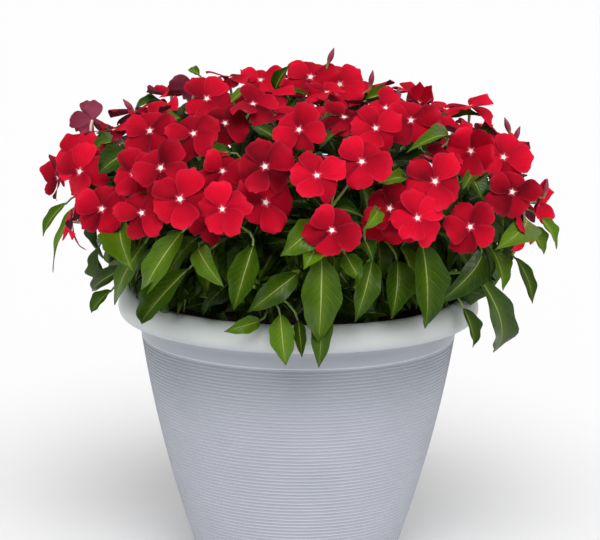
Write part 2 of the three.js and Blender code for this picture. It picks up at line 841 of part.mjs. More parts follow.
function placeLeaves(stems, blooms) {
  const leaves = [];
  const others = () => blooms.concat(leaves);
  for (const [baseAcross, baseUp, tipAcross, tipUp, width] of FRONT_LEAVES) {
    const make = ([baseSlide, tipSlide]) => makeLeaf(
      onMound(baseAcross, baseUp, LEAF_BASE_GROW, baseSlide),
      onMound(tipAcross, tipUp, tipUp < FRINGE_TOP ? 1 : LEAF_TIP_GROW, tipSlide),
      width,
      stems,
      true,
    );
    keepLeaf(leaves, clearest(LEAF_SLIDES, make, others()));
  }
  const draw = seededDraws(LEAF_SEED);
  for (const kind of DRAWN_LEAVES) addDrawnLeaves(leaves, others, stems, draw, kind);
  return leaves;
}

function keepLeaf(leaves, leaf) {
  leaves.push(leaf);
  leaf.hold.stem.leaves.push(leaf);
  leaf.hold.shoot.holds.push(leaf.hold.share);
}

function addDrawnLeaves(leaves, others, stems, draw, kind) {
  const drawFrom = ([least, spread], share) => least + spread * share;
  let drawn = 0;
  for (let attempt = 0; attempt < MOST_TRIES && drawn < kind.wanted; attempt += 1) {
    const compass = 2 * Math.PI * draw();
    const [height, sway, size, reach, depth] = [draw(), draw(), draw(), draw(), draw()];
    if (Math.sin(compass) < kind.frontmost) continue;
    const grow = drawFrom(kind.grow, depth);
    const rise = drawFrom(kind.level, height);
    const tall = rise > 0 ? MOUND.crown : MOUND.skirt;
    const flat = MOUND.across * Math.sqrt(Math.max(grow * grow - (rise / tall) ** 2, 0));
    const base = new THREE.Vector3(flat * Math.cos(compass), flat * Math.sin(compass), MOUND.middle + rise);
    if (leaves.some((leaf) => leaf.base.distanceTo(base) < LEAVES_APART)) continue;
    const length = drawFrom(kind.length, size);
    const outward = moundNormal(base);
    const turn = ANY_TURN * reach;
    const anyWay = new THREE.Vector3(Math.cos(turn), Math.sin(turn), -ANY_DROP);
    const down = across(outward, kind.hanging ? UP.clone().negate() : anyWay);
    const side = outward.clone().cross(down);
    const way = down.addScaledVector(side, (sway - 0.5) * LEAF_SWAY).addScaledVector(outward, LEAF_OUT);
    const tip = base.clone().addScaledVector(way.normalize(), length);
    const leaf = makeLeaf(base, tip, drawFrom(kind.width, length), stems, false);
    if (leaf.hold.gap > LONGEST_STALK || crossings(leaf, others()) > 0) continue;
    keepLeaf(leaves, leaf);
    drawn += 1;
  }
}

// Shapes of the blooms

const CUPPED_BEND = 0.42;
const HALF_OPEN_BEND = 0.95;
const BEND_SPREAD = 0.1;
const DROOP = 0.02;

// A petal's corners clockwise: the turn from its middle in degrees, the share of its reach, and the extra bend.
const PETAL_CORNERS = [
  [-180 / PETALS, NOTCH_REACH, 0],
  [-PETAL_HALF_ANGLE, 0.97, 0.04],
  [PETAL_HALF_ANGLE, 1, -0.04],
];
const TUBE_SIDES = 3;
const TUBE_PHASE = 20;
const BUD_RADII = [1, 1, 2.4, 0.5];

// Each form bends its petals up and down in another order.
function petalBend(form, petal) {
  if (form === CUPPED) return CUPPED_BEND;
  if (form === HALF_OPEN) return HALF_OPEN_BEND;
  return BEND_SPREAD * Math.sin(form * 2.3 + petal * 2.5) - DROOP;
}

function standsAlone(bunch) {
  return bunch.members.length + bunch.buds.length === 1;
}

// A tube ends inside the knob of its bunch, or flat on the end of the shoot if the bloom stands alone.
function bloomSolid(bloom, bunch, grow) {
  const alone = standsAlone(bunch);
  const reach = bloom.width / 2;
  const side = bloom.upright.clone().cross(bloom.facing);
  const inPlane = (turn, distance) => bloom.upright.clone()
    .multiplyScalar(Math.cos(turn) * distance)
    .addScaledVector(side, Math.sin(turn) * distance);
  const rim = [];
  for (let petal = 0; petal < PETALS; petal += 1) {
    const middle = bloom.spin + (2 * Math.PI * petal) / PETALS;
    const bend = petalBend(bloom.form, petal);
    for (const [turn, share, tilt] of PETAL_CORNERS) {
      const lean = bend + tilt;
      const distance = reach * share * Math.cos(lean) + grow;
      const rise = reach * share * Math.sin(lean);
      const point = inPlane(middle + radians(turn), distance);
      rim.push(bloom.centre.clone().add(point).addScaledVector(bloom.facing, rise));
    }
  }
  const back = bloom.centre.clone().addScaledVector(bloom.facing, -PETAL_THICKNESS - COLLAR_DEPTH);
  const way = alone ? bunch.way.clone().negate() : bunch.tip.clone().sub(back).normalize();
  const foot = bunch.tip.clone().addScaledVector(way, alone ? grow : -TUBE_FOOT);
  const endRadius = alone ? LONE_TUBE_END : TUBE_END;
  const footSide = across(way, bloom.upright);
  const footOther = way.clone().cross(footSide);
  const points = [bloom.centre.clone().addScaledVector(bloom.facing, grow)];
  rim.forEach((point) => points.push(point.clone().addScaledVector(bloom.facing, grow)));
  rim.forEach((point) => points.push(point.clone().addScaledVector(bloom.facing, -PETAL_THICKNESS - grow)));
  const count = rim.length;
  const collar = points.length;
  const turns = [0, 1, 2].map((corner) => bloom.spin + radians((360 / TUBE_SIDES) * corner + TUBE_PHASE));
  for (const turn of turns) {
    points.push(back.clone().add(inPlane(turn, TUBE_RADIUS + grow)).addScaledVector(bloom.facing, -grow));
  }
  for (const turn of turns) {
    const point = foot.clone().addScaledVector(footSide, Math.cos(turn) * (endRadius + grow));
    points.push(point.addScaledVector(footOther, Math.sin(turn) * (endRadius + grow)));
  }
  const faces = [];
  const third = count / TUBE_SIDES;
  for (let index = 0; index < count; index += 1) {
    const [a, b] = [1 + index, 1 + ((index + 1) % count)];
    faces.push([0, b, a]);
    faces.push([a, b, b + count], [a, b + count, a + count]);
    const corner = collar + Math.floor(index / third);
    faces.push([a + count, b + count, corner]);
    if ((index + 1) % third === 0) {
      faces.push([b + count, collar + ((corner - collar + 1) % TUBE_SIDES), corner]);
    }
  }
  const end = collar + TUBE_SIDES;
  for (let corner = 0; corner < TUBE_SIDES; corner += 1) {
    const next = (corner + 1) % TUBE_SIDES;
    faces.push([collar + corner, collar + next, end + next]);
    faces.push([collar + corner, end + next, end + corner]);
  }
  faces.push([end, end + 1, end + 2]);
  return solidOf(points, faces);
}

function budSolid(bud, tip, grow) {
  const way = bud.tip.clone().sub(bud.base).normalize();
  const stalkFoot = mix(tip, bud.base, TUBE_FOOT / tip.distanceTo(bud.base));
  const shoulder = bud.base.clone().addScaledVector(way, BUD_SHOULDER);
  const end = bud.tip.clone().addScaledVector(way, grow);
  const radii = BUD_RADII.map((radius) => radius + grow);
  return limbSolid([stalkFoot, bud.base, shoulder, end], radii, LIMB_SIDES, LIMB_PHASE);
}

function bunchSolids(bunch, grow) {
  const blooms = bunch.members.map((bloom) => bloomSolid(bloom, bunch, grow));
  if (standsAlone(bunch)) return blooms;
  const knob = new THREE.OctahedronGeometry(KNOB_RADIUS + KNOB_GROWTH * grow);
  const upright = new THREE.Quaternion().setFromUnitVectors(UP, bunch.way);
  knob.applyQuaternion(upright).translate(bunch.tip.x, bunch.tip.y, bunch.tip.z);
  const buds = bunch.buds.map((bud) => budSolid(bud, bunch.tip, grow));
  return [solidFromGeometry(knob), ...blooms, ...buds];
}

// Shapes of the leafy stems

// A blade widens at one station, or at two on a large leaf: the share of its length and the half width there as a
// share of its width. Its corners are numbered from the foot, and its edge runs from the foot round to the foot.
const SMALL_BLADE = {
  stations: [[0.5, 0.5]],
  faces: [[0, 1, 3], [0, 3, 2], [1, 4, 3], [2, 3, 5], [3, 4, 5]],
  edge: [1, 4, 5, 2, 0],
};
const LARGE_BLADE = {
  stations: [[0.34, 0.44], [0.68, 0.42]],
  faces: [[0, 1, 3], [0, 3, 2], [1, 4, 3], [2, 3, 6], [2, 6, 5], [3, 4, 7], [3, 7, 6], [5, 6, 8], [6, 7, 8]],
  edge: [1, 4, 7, 8, 5, 2, 0],
};
const STALK_CORNERS = [[-1, 0.6], [1, 0.6], [0, -1]];

function leafSolid(leaf, grow) {
  const side = leaf.way.clone().cross(leaf.normal);
  const { stations, faces: blade, edge } = leaf.length < SMALL_LEAF ? SMALL_BLADE : LARGE_BLADE;
  const points = [];
  const place = (share, sideways, rise) => {
    const point = leaf.base.clone().addScaledVector(leaf.way, share * leaf.length);
    point.addScaledVector(leaf.normal, leaf.arch * 4 * share * (1 - share) + rise);
    return point.addScaledVector(side, sideways);
  };
  const halfStalk = STALK_HALF_WIDTH + grow;
  const outline = [place(0, -halfStalk, 0), place(0, halfStalk, 0)];
  for (const [share, part] of stations) {
    const half = part * leaf.width + grow;
    outline.push(
      place(share, -half, LEAF_FOLD * half),
      place(share, 0, 0),
      place(share, half, LEAF_FOLD * half),
    );
  }
  outline.push(place(1 + grow / leaf.length, 0, 0));
  const half = LEAF_THICKNESS / 2 + grow;
  outline.forEach((point) => points.push(point.clone().addScaledVector(leaf.normal, half)));
  outline.forEach((point) => points.push(point.clone().addScaledVector(leaf.normal, -half)));
  const footWay = leaf.hold.place.clone().sub(leaf.base).normalize();
  const foot = leaf.hold.place.clone().addScaledVector(footWay, grow);
  const footSide = across(footWay, side);
  const footOver = footWay.clone().cross(footSide);
  const count = outline.length;
  const stalk = points.length;
  for (const [right, up] of STALK_CORNERS) {
    const point = foot.clone().addScaledVector(footSide, right * (STALK_FOOT + grow));
    points.push(point.addScaledVector(footOver, up * (STALK_FOOT + grow)));
  }
  const faces = [];
  for (const [a, b, c] of blade) faces.push([a, b, c], [a + count, c + count, b + count]);
  for (let index = 0; index < edge.length - 1; index += 1) {
    const [a, b] = [edge[index], edge[index + 1]];
    faces.push([a, a + count, b + count], [a, b + count, b]);
  }
  const [left, right, under] = [stalk, stalk + 1, stalk + 2];
  faces.push([0, left, right], [0, right, 1], [count, count + 1, under]);
  faces.push([1, right, under], [1, under, count + 1]);
  faces.push([0, count, under], [0, under, left], [left, under, right]);
  return solidOf(points, faces);
}

// How far a shoot ends before its tip, so that it just clears what it holds.
function shootGap(bunch) {
  return standsAlone(bunch) ? CLEARANCE : KNOB_RADIUS + KNOB_GROWTH * CLEARANCE;
}

function framework(stem, grow) {
  const sunk = stem.foot.clone().setZ(stem.foot.z - grow);
  const endOf = (shoot) => {
    const length = shoot.from.distanceTo(shoot.to);
    const gap = shoot.bunch ? shootGap(shoot.bunch) + SHOOT_SLACK : 0;
    return mix(shoot.from, shoot.to, (length - gap + grow) / length);
  };
  const [main, ...others] = stem.shoots;
  const radii = [STEM_RADIUS, STEM_RADIUS, STEM_RADIUS, SHOOT_RADIUS].map((radius) => radius + grow);
  const limb = limbSolid([sunk, stem.top, stem.fork, endOf(main)], radii, LIMB_SIDES, LIMB_PHASE);
  const sides = others.map((shoot) => {
    return rodSolid(shoot.from, endOf(shoot), SHOOT_ROOT + grow, SHOOT_RADIUS + grow, LIMB_SIDES);
  });
  return [limb, ...sides];
}

// Assembly

const blooms = placeBlooms();
const bunches = gatherBunches(blooms);
placeBuds(bunches);
const stems = placeStems(bunches);
for (const { bunch, from, to } of stems.flatMap((stem) => stem.shoots)) {
  if (bunch) bunch.way = to.clone().sub(from).normalize();
}
const leaves = placeLeaves(stems, blooms);

const potRoom = [potSolid(CLEARANCE), mixSolid(CLEARANCE)];

const bunchBodies = [];
const bloomRoom = [];
for (const bunch of bunches) {
  const body = cutBy(joined(bunchSolids(bunch, 0)), [...potRoom, ...bloomRoom]);
  bunchBodies.push(largestBody(body));
  bloomRoom.push(...bunchSolids(bunch, CLEARANCE));
}

const stemRooms = stems.map((stem) => framework(stem, CLEARANCE));
const stemBodies = [];
const leafRoom = [];
stems.forEach((stem, index) => {
  const otherStems = stemRooms.filter((room, other) => other !== index).flat();
  const earlierStems = stemRooms.slice(0, index).flat();
  const frame = cutBy(joined(framework(stem, 0)), [...bloomRoom, ...earlierStems]);
  const blades = stem.leaves.map((leaf) => {
    return cutBy(leafSolid(leaf, 0), [...potRoom, ...bloomRoom, ...otherStems, ...leafRoom]);
  });
  const pieces = [frame, ...blades].filter((piece) => !piece.isEmpty());
  stemBodies.push(largestBody(joined(pieces)));
  leafRoom.push(...stem.leaves.map((leaf) => leafSolid(leaf, CLEARANCE)));
});

const holes = stems.map((stem) => framework(stem, HOLE_ROOM)[0]);

const MATERIALS = {
  pot: new THREE.MeshStandardMaterial({ color: 0xb7bac4, roughness: 0.45, metalness: 0 }),
  mix: new THREE.MeshStandardMaterial({ color: 0x1e1813, roughness: 0.95, metalness: 0 }),
  leaf: new THREE.MeshStandardMaterial({ color: 0x3f6e22, roughness: 0.4, metalness: 0 }),
  petal: new THREE.MeshStandardMaterial({ color: 0xd01430, roughness: 0.55, metalness: 0 }),
};

function meshOf(name, solid, material) {
  const { vertProperties, triVerts } = solid.getMesh();
  const geometry = new THREE.BufferGeometry();
  geometry.setAttribute("position", new THREE.BufferAttribute(new Float32Array(vertProperties), 3));
  geometry.setIndex(new THREE.BufferAttribute(new Uint32Array(triVerts), 1));
  geometry.computeVertexNormals();
  const mesh = new THREE.Mesh(geometry, material);
  mesh.name = name;
  return mesh;
}

function numbered(name, index) {
  return `${name}_${String(index + 1).padStart(2, "0")}`;
}

const plant = new THREE.Group();
plant.add(meshOf("pot", pot(), MATERIALS.pot));
plant.add(meshOf("potting_mix", cutBy(mixSolid(0), holes), MATERIALS.mix));
stemBodies.forEach((body, index) => plant.add(meshOf(numbered("leafy_stem", index), body, MATERIALS.leaf)));
bunchBodies.forEach((body, index) => plant.add(meshOf(numbered("blooms", index), body, MATERIALS.petal)));

export default plant;
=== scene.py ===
# %% [markdown]
# # A potted Madagascar periwinkle
#
# The real thing is a patio pot full of one bedding plant. Short forked stems rise from the potting mix,
# glossy leaves hang over the rolled rim in a fringe, and flat crimson blooms with white eyes cover the whole
# mound. The solids of the part are already packed at their real size, so this lesson loads them as a fixed
# frame and dresses them. Nothing is moved or resized: every piece made below lies where its solid lies.

# %% Load the fixed frame
import json
import math
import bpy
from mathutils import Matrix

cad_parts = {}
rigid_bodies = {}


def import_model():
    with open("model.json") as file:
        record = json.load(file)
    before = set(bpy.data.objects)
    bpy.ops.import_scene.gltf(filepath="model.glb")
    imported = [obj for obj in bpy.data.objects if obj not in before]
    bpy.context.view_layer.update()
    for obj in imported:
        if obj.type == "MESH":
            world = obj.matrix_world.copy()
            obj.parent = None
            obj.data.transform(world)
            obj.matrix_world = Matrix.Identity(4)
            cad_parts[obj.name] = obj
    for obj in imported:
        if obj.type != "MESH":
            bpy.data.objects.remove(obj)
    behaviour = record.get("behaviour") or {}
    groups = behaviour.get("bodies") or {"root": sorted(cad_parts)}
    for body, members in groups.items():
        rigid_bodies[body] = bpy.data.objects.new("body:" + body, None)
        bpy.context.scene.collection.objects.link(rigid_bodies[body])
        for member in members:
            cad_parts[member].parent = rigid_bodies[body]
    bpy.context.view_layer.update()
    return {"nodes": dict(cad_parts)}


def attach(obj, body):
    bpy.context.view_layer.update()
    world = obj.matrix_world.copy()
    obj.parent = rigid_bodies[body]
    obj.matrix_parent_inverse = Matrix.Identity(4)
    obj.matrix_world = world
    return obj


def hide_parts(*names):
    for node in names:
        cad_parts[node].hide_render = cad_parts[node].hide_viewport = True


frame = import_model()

from types import SimpleNamespace

import bpy
from mathutils import Matrix, Vector

BLOOM_NODES = sorted(name for name in frame["nodes"] if name.startswith("blooms_"))
STEM_NODES = sorted(name for name in frame["nodes"] if name.startswith("leafy_stem_"))
print(len(BLOOM_NODES), "bunches of blooms,", len(STEM_NODES), "leafy stems")

# %% [markdown]
# ## The camera
#
# The photograph was taken from a little above, a long way off, with a long lens: the rim shows as a flat
# ellipse and the sides of the pot hardly converge. A long lens at two metres gives the same view. The camera
# also leans by a fraction of a degree, because the rim in the photograph sinks slightly to the right.

# %% Camera at the photograph's viewing angle
EYE = Vector((0, -2.0, 0.669))
TARGET = Vector((0.001, 0, 0.25))
LENS_MM, SENSOR_MM = 147.1, 36
CAMERA_LEAN = math.radians(0.6)

ahead = (TARGET - EYE).normalized()
level_right = ahead.cross(Vector((0, 0, 1))).normalized()
level_up = level_right.cross(ahead)
right = level_right * math.cos(CAMERA_LEAN) + level_up * math.sin(CAMERA_LEAN)
up = level_up * math.cos(CAMERA_LEAN) - level_right * math.sin(CAMERA_LEAN)

camera_data = bpy.data.cameras.new("camera")
camera_data.lens = LENS_MM
camera_data.sensor_width = SENSOR_MM
camera = bpy.data.objects.new("camera", camera_data)
camera.matrix_world = Matrix.Translation(EYE) @ Matrix((right, up, -ahead)).transposed().to_4x4()
bpy.context.scene.collection.objects.link(camera)
bpy.context.scene.camera = camera
print("camera", round((TARGET - EYE).length, 2), "m away, lens", LENS_MM, "mm")

# %% [markdown]
# ## Tools for colours and nodes
#
# Colours are written as the hex values that one reads off a screen, and one function turns them into the
# linear values that light works with. A second function adds one node to any tree, with its settings and its
# links, so that a material or a rule for geometry reads as a list of nodes.

# %% Colours and nodes
MATH, MIX, RANGE, NOISE = "ShaderNodeMath", "ShaderNodeMix", "ShaderNodeMapRange", "ShaderNodeTexNoise"
RAMP, BUMP, ATTRIBUTE = "ShaderNodeValToRGB", "ShaderNodeBump", "ShaderNodeAttribute"
OF_COLOURS = {"data_type": "RGBA"}
SOFTLY = {"interpolation_type": "SMOOTHSTEP"}


def linear(hex_colour):
    """The linear RGBA of an sRGB hex colour."""
    parts = [int(hex_colour[start:start + 2], 16) / 255 for start in (1, 3, 5)]
    return tuple(p / 12.92 if p <= 0.04045 else ((p + 0.055) / 1.055) ** 2.4 for p in parts) + (1.0,)


def add(tree, kind, *values, stops=(), **named):
    """
    Adds a node. The values fill its inputs in order. A capitalised name is one input, with _ for a space,
    and any other name is a setting. A value is a number, a name, a hex colour, a socket, or a node, whose
    first output is then meant. The stops of a colour ramp are given as (place, hex colour).
    """
    made = tree.nodes.new(kind)
    for name, value in named.items():
        if name[0].islower():
            setattr(made, name, value)
    for number, (spot, hex_colour) in enumerate(stops):
        steps = made.color_ramp.elements
        step = steps[number] if number < 2 else steps.new(spot)
        step.position, step.color = spot, linear(hex_colour)
    given = list(zip([socket for socket in made.inputs if socket.enabled], values))
    given += [
        (made.inputs[name.replace("_", " ")], value) for name, value in named.items() if name[0].isupper()]
    for socket, value in given:
        if isinstance(value, bpy.types.Node):
            value = next(output for output in value.outputs if output.enabled)
        if isinstance(value, bpy.types.NodeSocket):
            tree.links.new(value, socket)
        else:
            socket.default_value = linear(value) if str(value).startswith("#") else value
    return made


def new_material(name):
    """An empty material and its tree."""
    material = bpy.data.materials.new(name)
    material.use_nodes = True
    material.node_tree.nodes.clear()
    return material, material.node_tree


def finish_material(tree, **inputs):
    """Gives a material its surface shader and its output, and tells how many nodes it has."""
    add(tree, "ShaderNodeOutputMaterial", add(tree, "ShaderNodeBsdfPrincipled", **inputs))
    print("a finish of", len(tree.nodes), "nodes")


print("crimson is", [round(part, 3) for part in linear("#d4142f")])

# %% [markdown]
# ## The floor and the light
#
# The photograph is a catalogue picture: a bright, nearly white surround and soft light from above. A wide
# pale floor under a bright even sky does most of it. One broad sun, as wide as a studio's overhead softbox
# looks from below, lights the whole floor evenly and gives the soft shadows. Two broader and much fainter
# suns, one from each side, keep the flanks of the pot and of the mound nearly as light as the front.

# %% Floor, sky and lamps
FLOOR_RADIUS = 30.0
SKY_STRENGTH = 0.43
LAMPS_AIM = Vector((0, 0, 0.2))
LAMPS = (
    ("overhead_softbox", (0.1, -1.75, 2.3), 40, 2.2), ("left_softbox", (-2.4, -0.9, 0.9), 50, 0.48),
    ("right_softbox", (2.4, -0.9, 0.9), 50, 0.48))

bpy.ops.mesh.primitive_circle_add(vertices=64, radius=FLOOR_RADIUS, fill_type="NGON")
floor = bpy.context.object
floor.name = "floor"
paper, tree = new_material("matt white studio paper")
finish_material(tree, Base_Color="#f9f9f9", Roughness=1.0, Specular_IOR_Level=0.0)
floor.data.materials.append(paper)

world = bpy.data.worlds.new("bright studio")
bpy.context.scene.world = world
world.use_nodes = True
world.node_tree.nodes["Background"].inputs["Color"].default_value = linear("#fdfdfd")
world.node_tree.nodes["Background"].inputs["Strength"].default_value = SKY_STRENGTH

for lamp_name, lamp_place, degrees_wide, energy in LAMPS:
    light = bpy.data.lights.new(lamp_name, "SUN")
    light.angle = math.radians(degrees_wide)
    light.energy = energy
    lamp = bpy.data.objects.new(lamp_name, light)
    turn = (LAMPS_AIM - Vector(lamp_place)).to_track_quat("-Z", "Y")
    lamp.matrix_world = Matrix.Translation(lamp_place) @ turn.to_matrix().to_4x4()
    bpy.context.scene.collection.objects.link(lamp)

# The plain transform keeps the crimson as saturated as it is in the photograph.
bpy.context.scene.view_settings.view_transform = "Standard"
print("sky", SKY_STRENGTH, "and", len(LAMPS), "lamps")

# %% [markdown]
# ## Where everything grows
#
# A plant can't be drawn from a formula alone, and nobody wants to place all its leaves by hand either. So
# the pieces that show in the photograph are listed by their place on an upright sheet through the pot's
# axis, and pushed back along the line of sight onto a rounded mound. What the photograph hides is drawn by
# a seeded rule. The solids were laid out in this way, and the same steps here, in millimetres, find the
# same places.

# %% Small steps with points
MM = 0.001
ORIGIN, UP = (0.0, 0.0, 0.0), (0.0, 0.0, 1.0)
DRAW_FACTOR, DRAW_MODULUS = 48271, 2147483647


def plus(a, b, share=1.0):
    return (a[0] + b[0] * share, a[1] + b[1] * share, a[2] + b[2] * share)


def minus(a, b):
    return (a[0] - b[0], a[1] - b[1], a[2] - b[2])


def dot(a, b):
    return a[0] * b[0] + a[1] * b[1] + a[2] * b[2]


def cross(a, b):
    return (a[1] * b[2] - a[2] * b[1], a[2] * b[0] - a[0] * b[2], a[0] * b[1] - a[1] * b[0])


def length(a):
    return math.sqrt(dot(a, a))


def unit(a):
    size = length(a)
    return (a[0] / size, a[1] / size, a[2] / size)


def between(a, b, share):
    return plus(a, minus(b, a), share)


def polar(radius, compass, height):
    return (radius * math.cos(compass), radius * math.sin(compass), height)


def spoke(first, second, turn):
    """The direction that has turned away from a first one towards a second."""
    return plus(plus(ORIGIN, first, math.cos(turn)), second, math.sin(turn))


def square_to(direction, hint):
    """The unit vector square to a direction that lies nearest to a hint."""
    return unit(plus(hint, direction, -dot(hint, direction)))


def seeded_draws(seed):
    state = seed

    def draw():
        nonlocal state
        state = state * DRAW_FACTOR % DRAW_MODULUS
        return state / DRAW_MODULUS

    return draw


print("first draw", round(seeded_draws(7)(), 6))

# %% The mound
MOUND_ACROSS, MOUND_MIDDLE, MOUND_CROWN, MOUND_SKIRT = 190, 323, 84, 220
VIEWPOINT = (0.0, -2000.0, 669.0)
SHARE_OUTSIDE, HALVINGS = 0.8, 40


def mound_tall(rise):
    return MOUND_CROWN if rise > 0 else MOUND_SKIRT


def outside_mound(point, grow):
    rise = point[2] - MOUND_MIDDLE
    flat = (point[0] ** 2 + point[1] ** 2) / (MOUND_ACROSS * MOUND_ACROSS)
    return flat + (rise / mound_tall(rise)) ** 2 > grow * grow


def on_mound(across_sheet, up_sheet, grow, nearer):
    """A place on the upright sheet, pushed along the line of sight onto the mound, and nearer by some mm."""
    sight = minus((across_sheet, 0, up_sheet), VIEWPOINT)
    outside, inside = SHARE_OUTSIDE, 1.0
    if not outside_mound(plus(VIEWPOINT, sight, inside), grow):
        for halving in range(HALVINGS):
            middle = (outside + inside) / 2
            if outside_mound(plus(VIEWPOINT, sight, middle), grow):
                outside = middle
            else:
                inside = middle
    return plus(VIEWPOINT, sight, inside - nearer / length(sight))


def mound_normal(point):
    rise = point[2] - MOUND_MIDDLE
    flat, tall = 1 / (MOUND_ACROSS * MOUND_ACROSS), mound_tall(rise)
    return unit((point[0] * flat, point[1] * flat, rise / (tall * tall)))


print("front of the mound", [round(part, 1) for part in on_mound(0, MOUND_MIDDLE, 1, 0)])

# %% Which pieces would grow through each other
SHEET_GAP = 2
NEARLY_PARALLEL = 0.12


def discs_cross(a, b):
    """Flat discs, each (middle, facing, radius), stand for petals and blades."""
    gap = minus(b[0], a[0])
    reach = a[2] + b[2]
    if dot(gap, gap) > reach * reach:
        return False
    line = cross(a[1], b[1])
    if length(line) < NEARLY_PARALLEL:
        return abs(dot(gap, a[1])) < SHEET_GAP
    line = unit(line)
    inward = cross(line, a[1])
    offset = dot(gap, b[1]) / dot(inward, b[1])
    half_a = a[2] * a[2] - offset * offset
    if half_a <= 0:
        return False
    from_b = plus(minus(ORIGIN, gap), inward, offset)
    along = dot(from_b, line)
    half_b = b[2] * b[2] - (dot(from_b, from_b) - along * along)
    return half_b > 0 and abs(along) < math.sqrt(half_a) + math.sqrt(half_b)


def needle_crosses(needle, disc):
    """Straight needles, each (from, to), stand for tubes and stalks."""
    start = minus(needle[0], disc[0])
    way = minus(needle[1], needle[0])
    before, rise = dot(start, disc[1]), dot(way, disc[1])
    if before * (before + rise) > 0:
        return False
    hit = plus(start, way, 0 if rise == 0 else -before / rise)
    reach = disc[2] + SHEET_GAP
    return dot(hit, hit) < reach * reach


def crossings(item, others):
    return sum(
        any(discs_cross(disc, face) for disc in item.discs for face in other.discs)
        or any(needle_crosses(needle, disc) for disc in item.discs for needle in other.needles)
        or any(needle_crosses(needle, disc) for needle in item.needles for disc in other.discs)
        for other in others)


def clearest(choices, make, others):
    """The first choice that crosses nothing, or else the one that crosses least."""
    best = None
    for choice in choices:
        item = make(choice)
        item.crossed = crossings(item, others)
        if item.crossed == 0:
            return item
        if best is None or item.crossed < best.crossed:
            best = item
    return best


print("discs keep", SHEET_GAP, "mm apart where there is room")

# %% [markdown]
# ## Blooms
#
# Each row below is one bloom as it shows: where its eye lies, which way its face is turned and lifted, how
# the petals are spun, how wide it is, its form, from nearly flat to cupped and half open, and how far it
# sits behind the mound's face. A bloom that would cut through one that is already placed slides along the
# line of sight.

# %% Blooms that show, and blooms round the back
CUPPED = 6
HALF_OPEN = 7
FRONT_BLOOMS = [
    (-29, 337, 0, 25, -17, 48, 0, 0), (-99, 309, -5, 28, 20, 50, 1, 0), (27, 284, 5, 8, 42, 45, 2, 0),
    (-1, 368, -5, 26, 24, 45, 3, 0), (-77, 393, -5, 42, 30, 46, 4, 0), (8, 412, 0, 38, 10, 47, 5, 0),
    (62, 370, 15, 36, 65, 44, 1, 0), (51, 342, 0, 24, 38, 47, 2, 0), (-88, 364, -12, 38, 48, 45, 0, 0),
    (-115, 335, -8, 28, 32, 48, 3, 0), (98, 295, 15, 35, 65, 47, 4, 0), (176, 318, 15, 22, 15, 46, 5, 0),
    (-64, 301, -25, 12, 60, 46, 2, 0), (-131, 297, -5, 30, 50, 44, 0, 0), (112, 326, 5, 30, 30, 50, 1, 0),
    (142, 288, 10, 12, 50, 46, 3, 0), (91, 377, 10, 28, 5, 46, 5, 0), (-182, 331, -38, 22, 0, 50, 4, 0),
    (197, 309, 65, 5, 0, 42, CUPPED, 0), (-164, 300, -8, 10, 8, 46, 2, 0), (32, 406, 5, 30, 48, 46, 0, 0),
    (14, 330, 10, 38, 65, 46, 1, 0), (-75, 289, -12, -30, 36, 36, CUPPED, 8),
    (-39, 389, 0, 62, 0, 45, 3, 0), (-124, 366, -8, 27, -5, 46, 5, 0), (-62, 373, 10, 38, 45, 42, 0, 8),
    (-28, 307, 5, 2, 15, 49, 4, 8), (36, 379, 5, 58, 40, 42, 2, 0), (139, 389, -15, 86, 20, 48, 1, 0),
    (141, 352, -8, -4, 36, 46, CUPPED, 4), (75, 303, 0, 20, 20, 44, 3, 12),
    (77, 290, -5, -6, 36, 46, 5, 16), (168, 347, 8, 32, 20, 48, 0, 10), (-64, 333, 22, 18, 30, 42, 2, 10),
    (-138, 330, -15, 25, 50, 42, 4, 14), (-185, 345, -25, 30, 36, 48, 1, 6),
    (-200, 326, -62, 2, 0, 42, CUPPED, 4), (70, 387, 5, 50, 20, 40, 3, 0),
    (-87, 402, -8, 130, 20, 42, 5, 0), (-58, 411, 5, 86, 50, 40, 0, 6), (-33, 409, 0, 48, 10, 40, 2, 8),
    (97, 391, 8, 50, 0, 36, HALF_OPEN, 0), (-171, 374, -20, 138, 30, 42, 1, 0),
    (113, 346, 0, 80, 10, 44, 3, 10),
]
SLIDES = [0, -4, -8, -12, 4, -16, 8, -20, 12, -25, 16, 20]
MOST_TRIES = 4000
FACES_VIEWPOINT = 0.3
BLOOM_TO_LIGHT = 0.3
FLAT_LEVELS, FLAT_REACH = (-2.5, 1.5), 0.5
CUP_LEVELS, CUP_REACH, CUP_WIDENS = (-1, 4, 9), 0.3, 0.018
BACK_BLOOMS = SimpleNamespace(
    seed=20377, wanted=50, apart=34, narrowest=42, width_spread=8, reach_down=1.12, crowding=1.4,
    turn_spread=30, lift_spread=26, spin_spread=72)


def make_bloom(centre, turn, lift, spin, width, form):
    yaw, pitch = math.radians(turn), math.radians(lift)
    facing = (math.sin(yaw) * math.cos(pitch), -math.cos(yaw) * math.cos(pitch), math.sin(pitch))
    upright = (-math.sin(yaw) * math.sin(pitch), math.cos(yaw) * math.sin(pitch), math.cos(pitch))
    deep = form >= CUPPED
    discs = []
    for level in CUP_LEVELS if deep else FLAT_LEVELS:
        reach = CUP_REACH + CUP_WIDENS * level if deep else FLAT_REACH
        discs.append((plus(centre, facing, level), facing, width * reach))
    return SimpleNamespace(
        centre=centre, facing=facing, upright=upright, spin=math.radians(spin), width=width, form=form,
        discs=discs, needles=[])


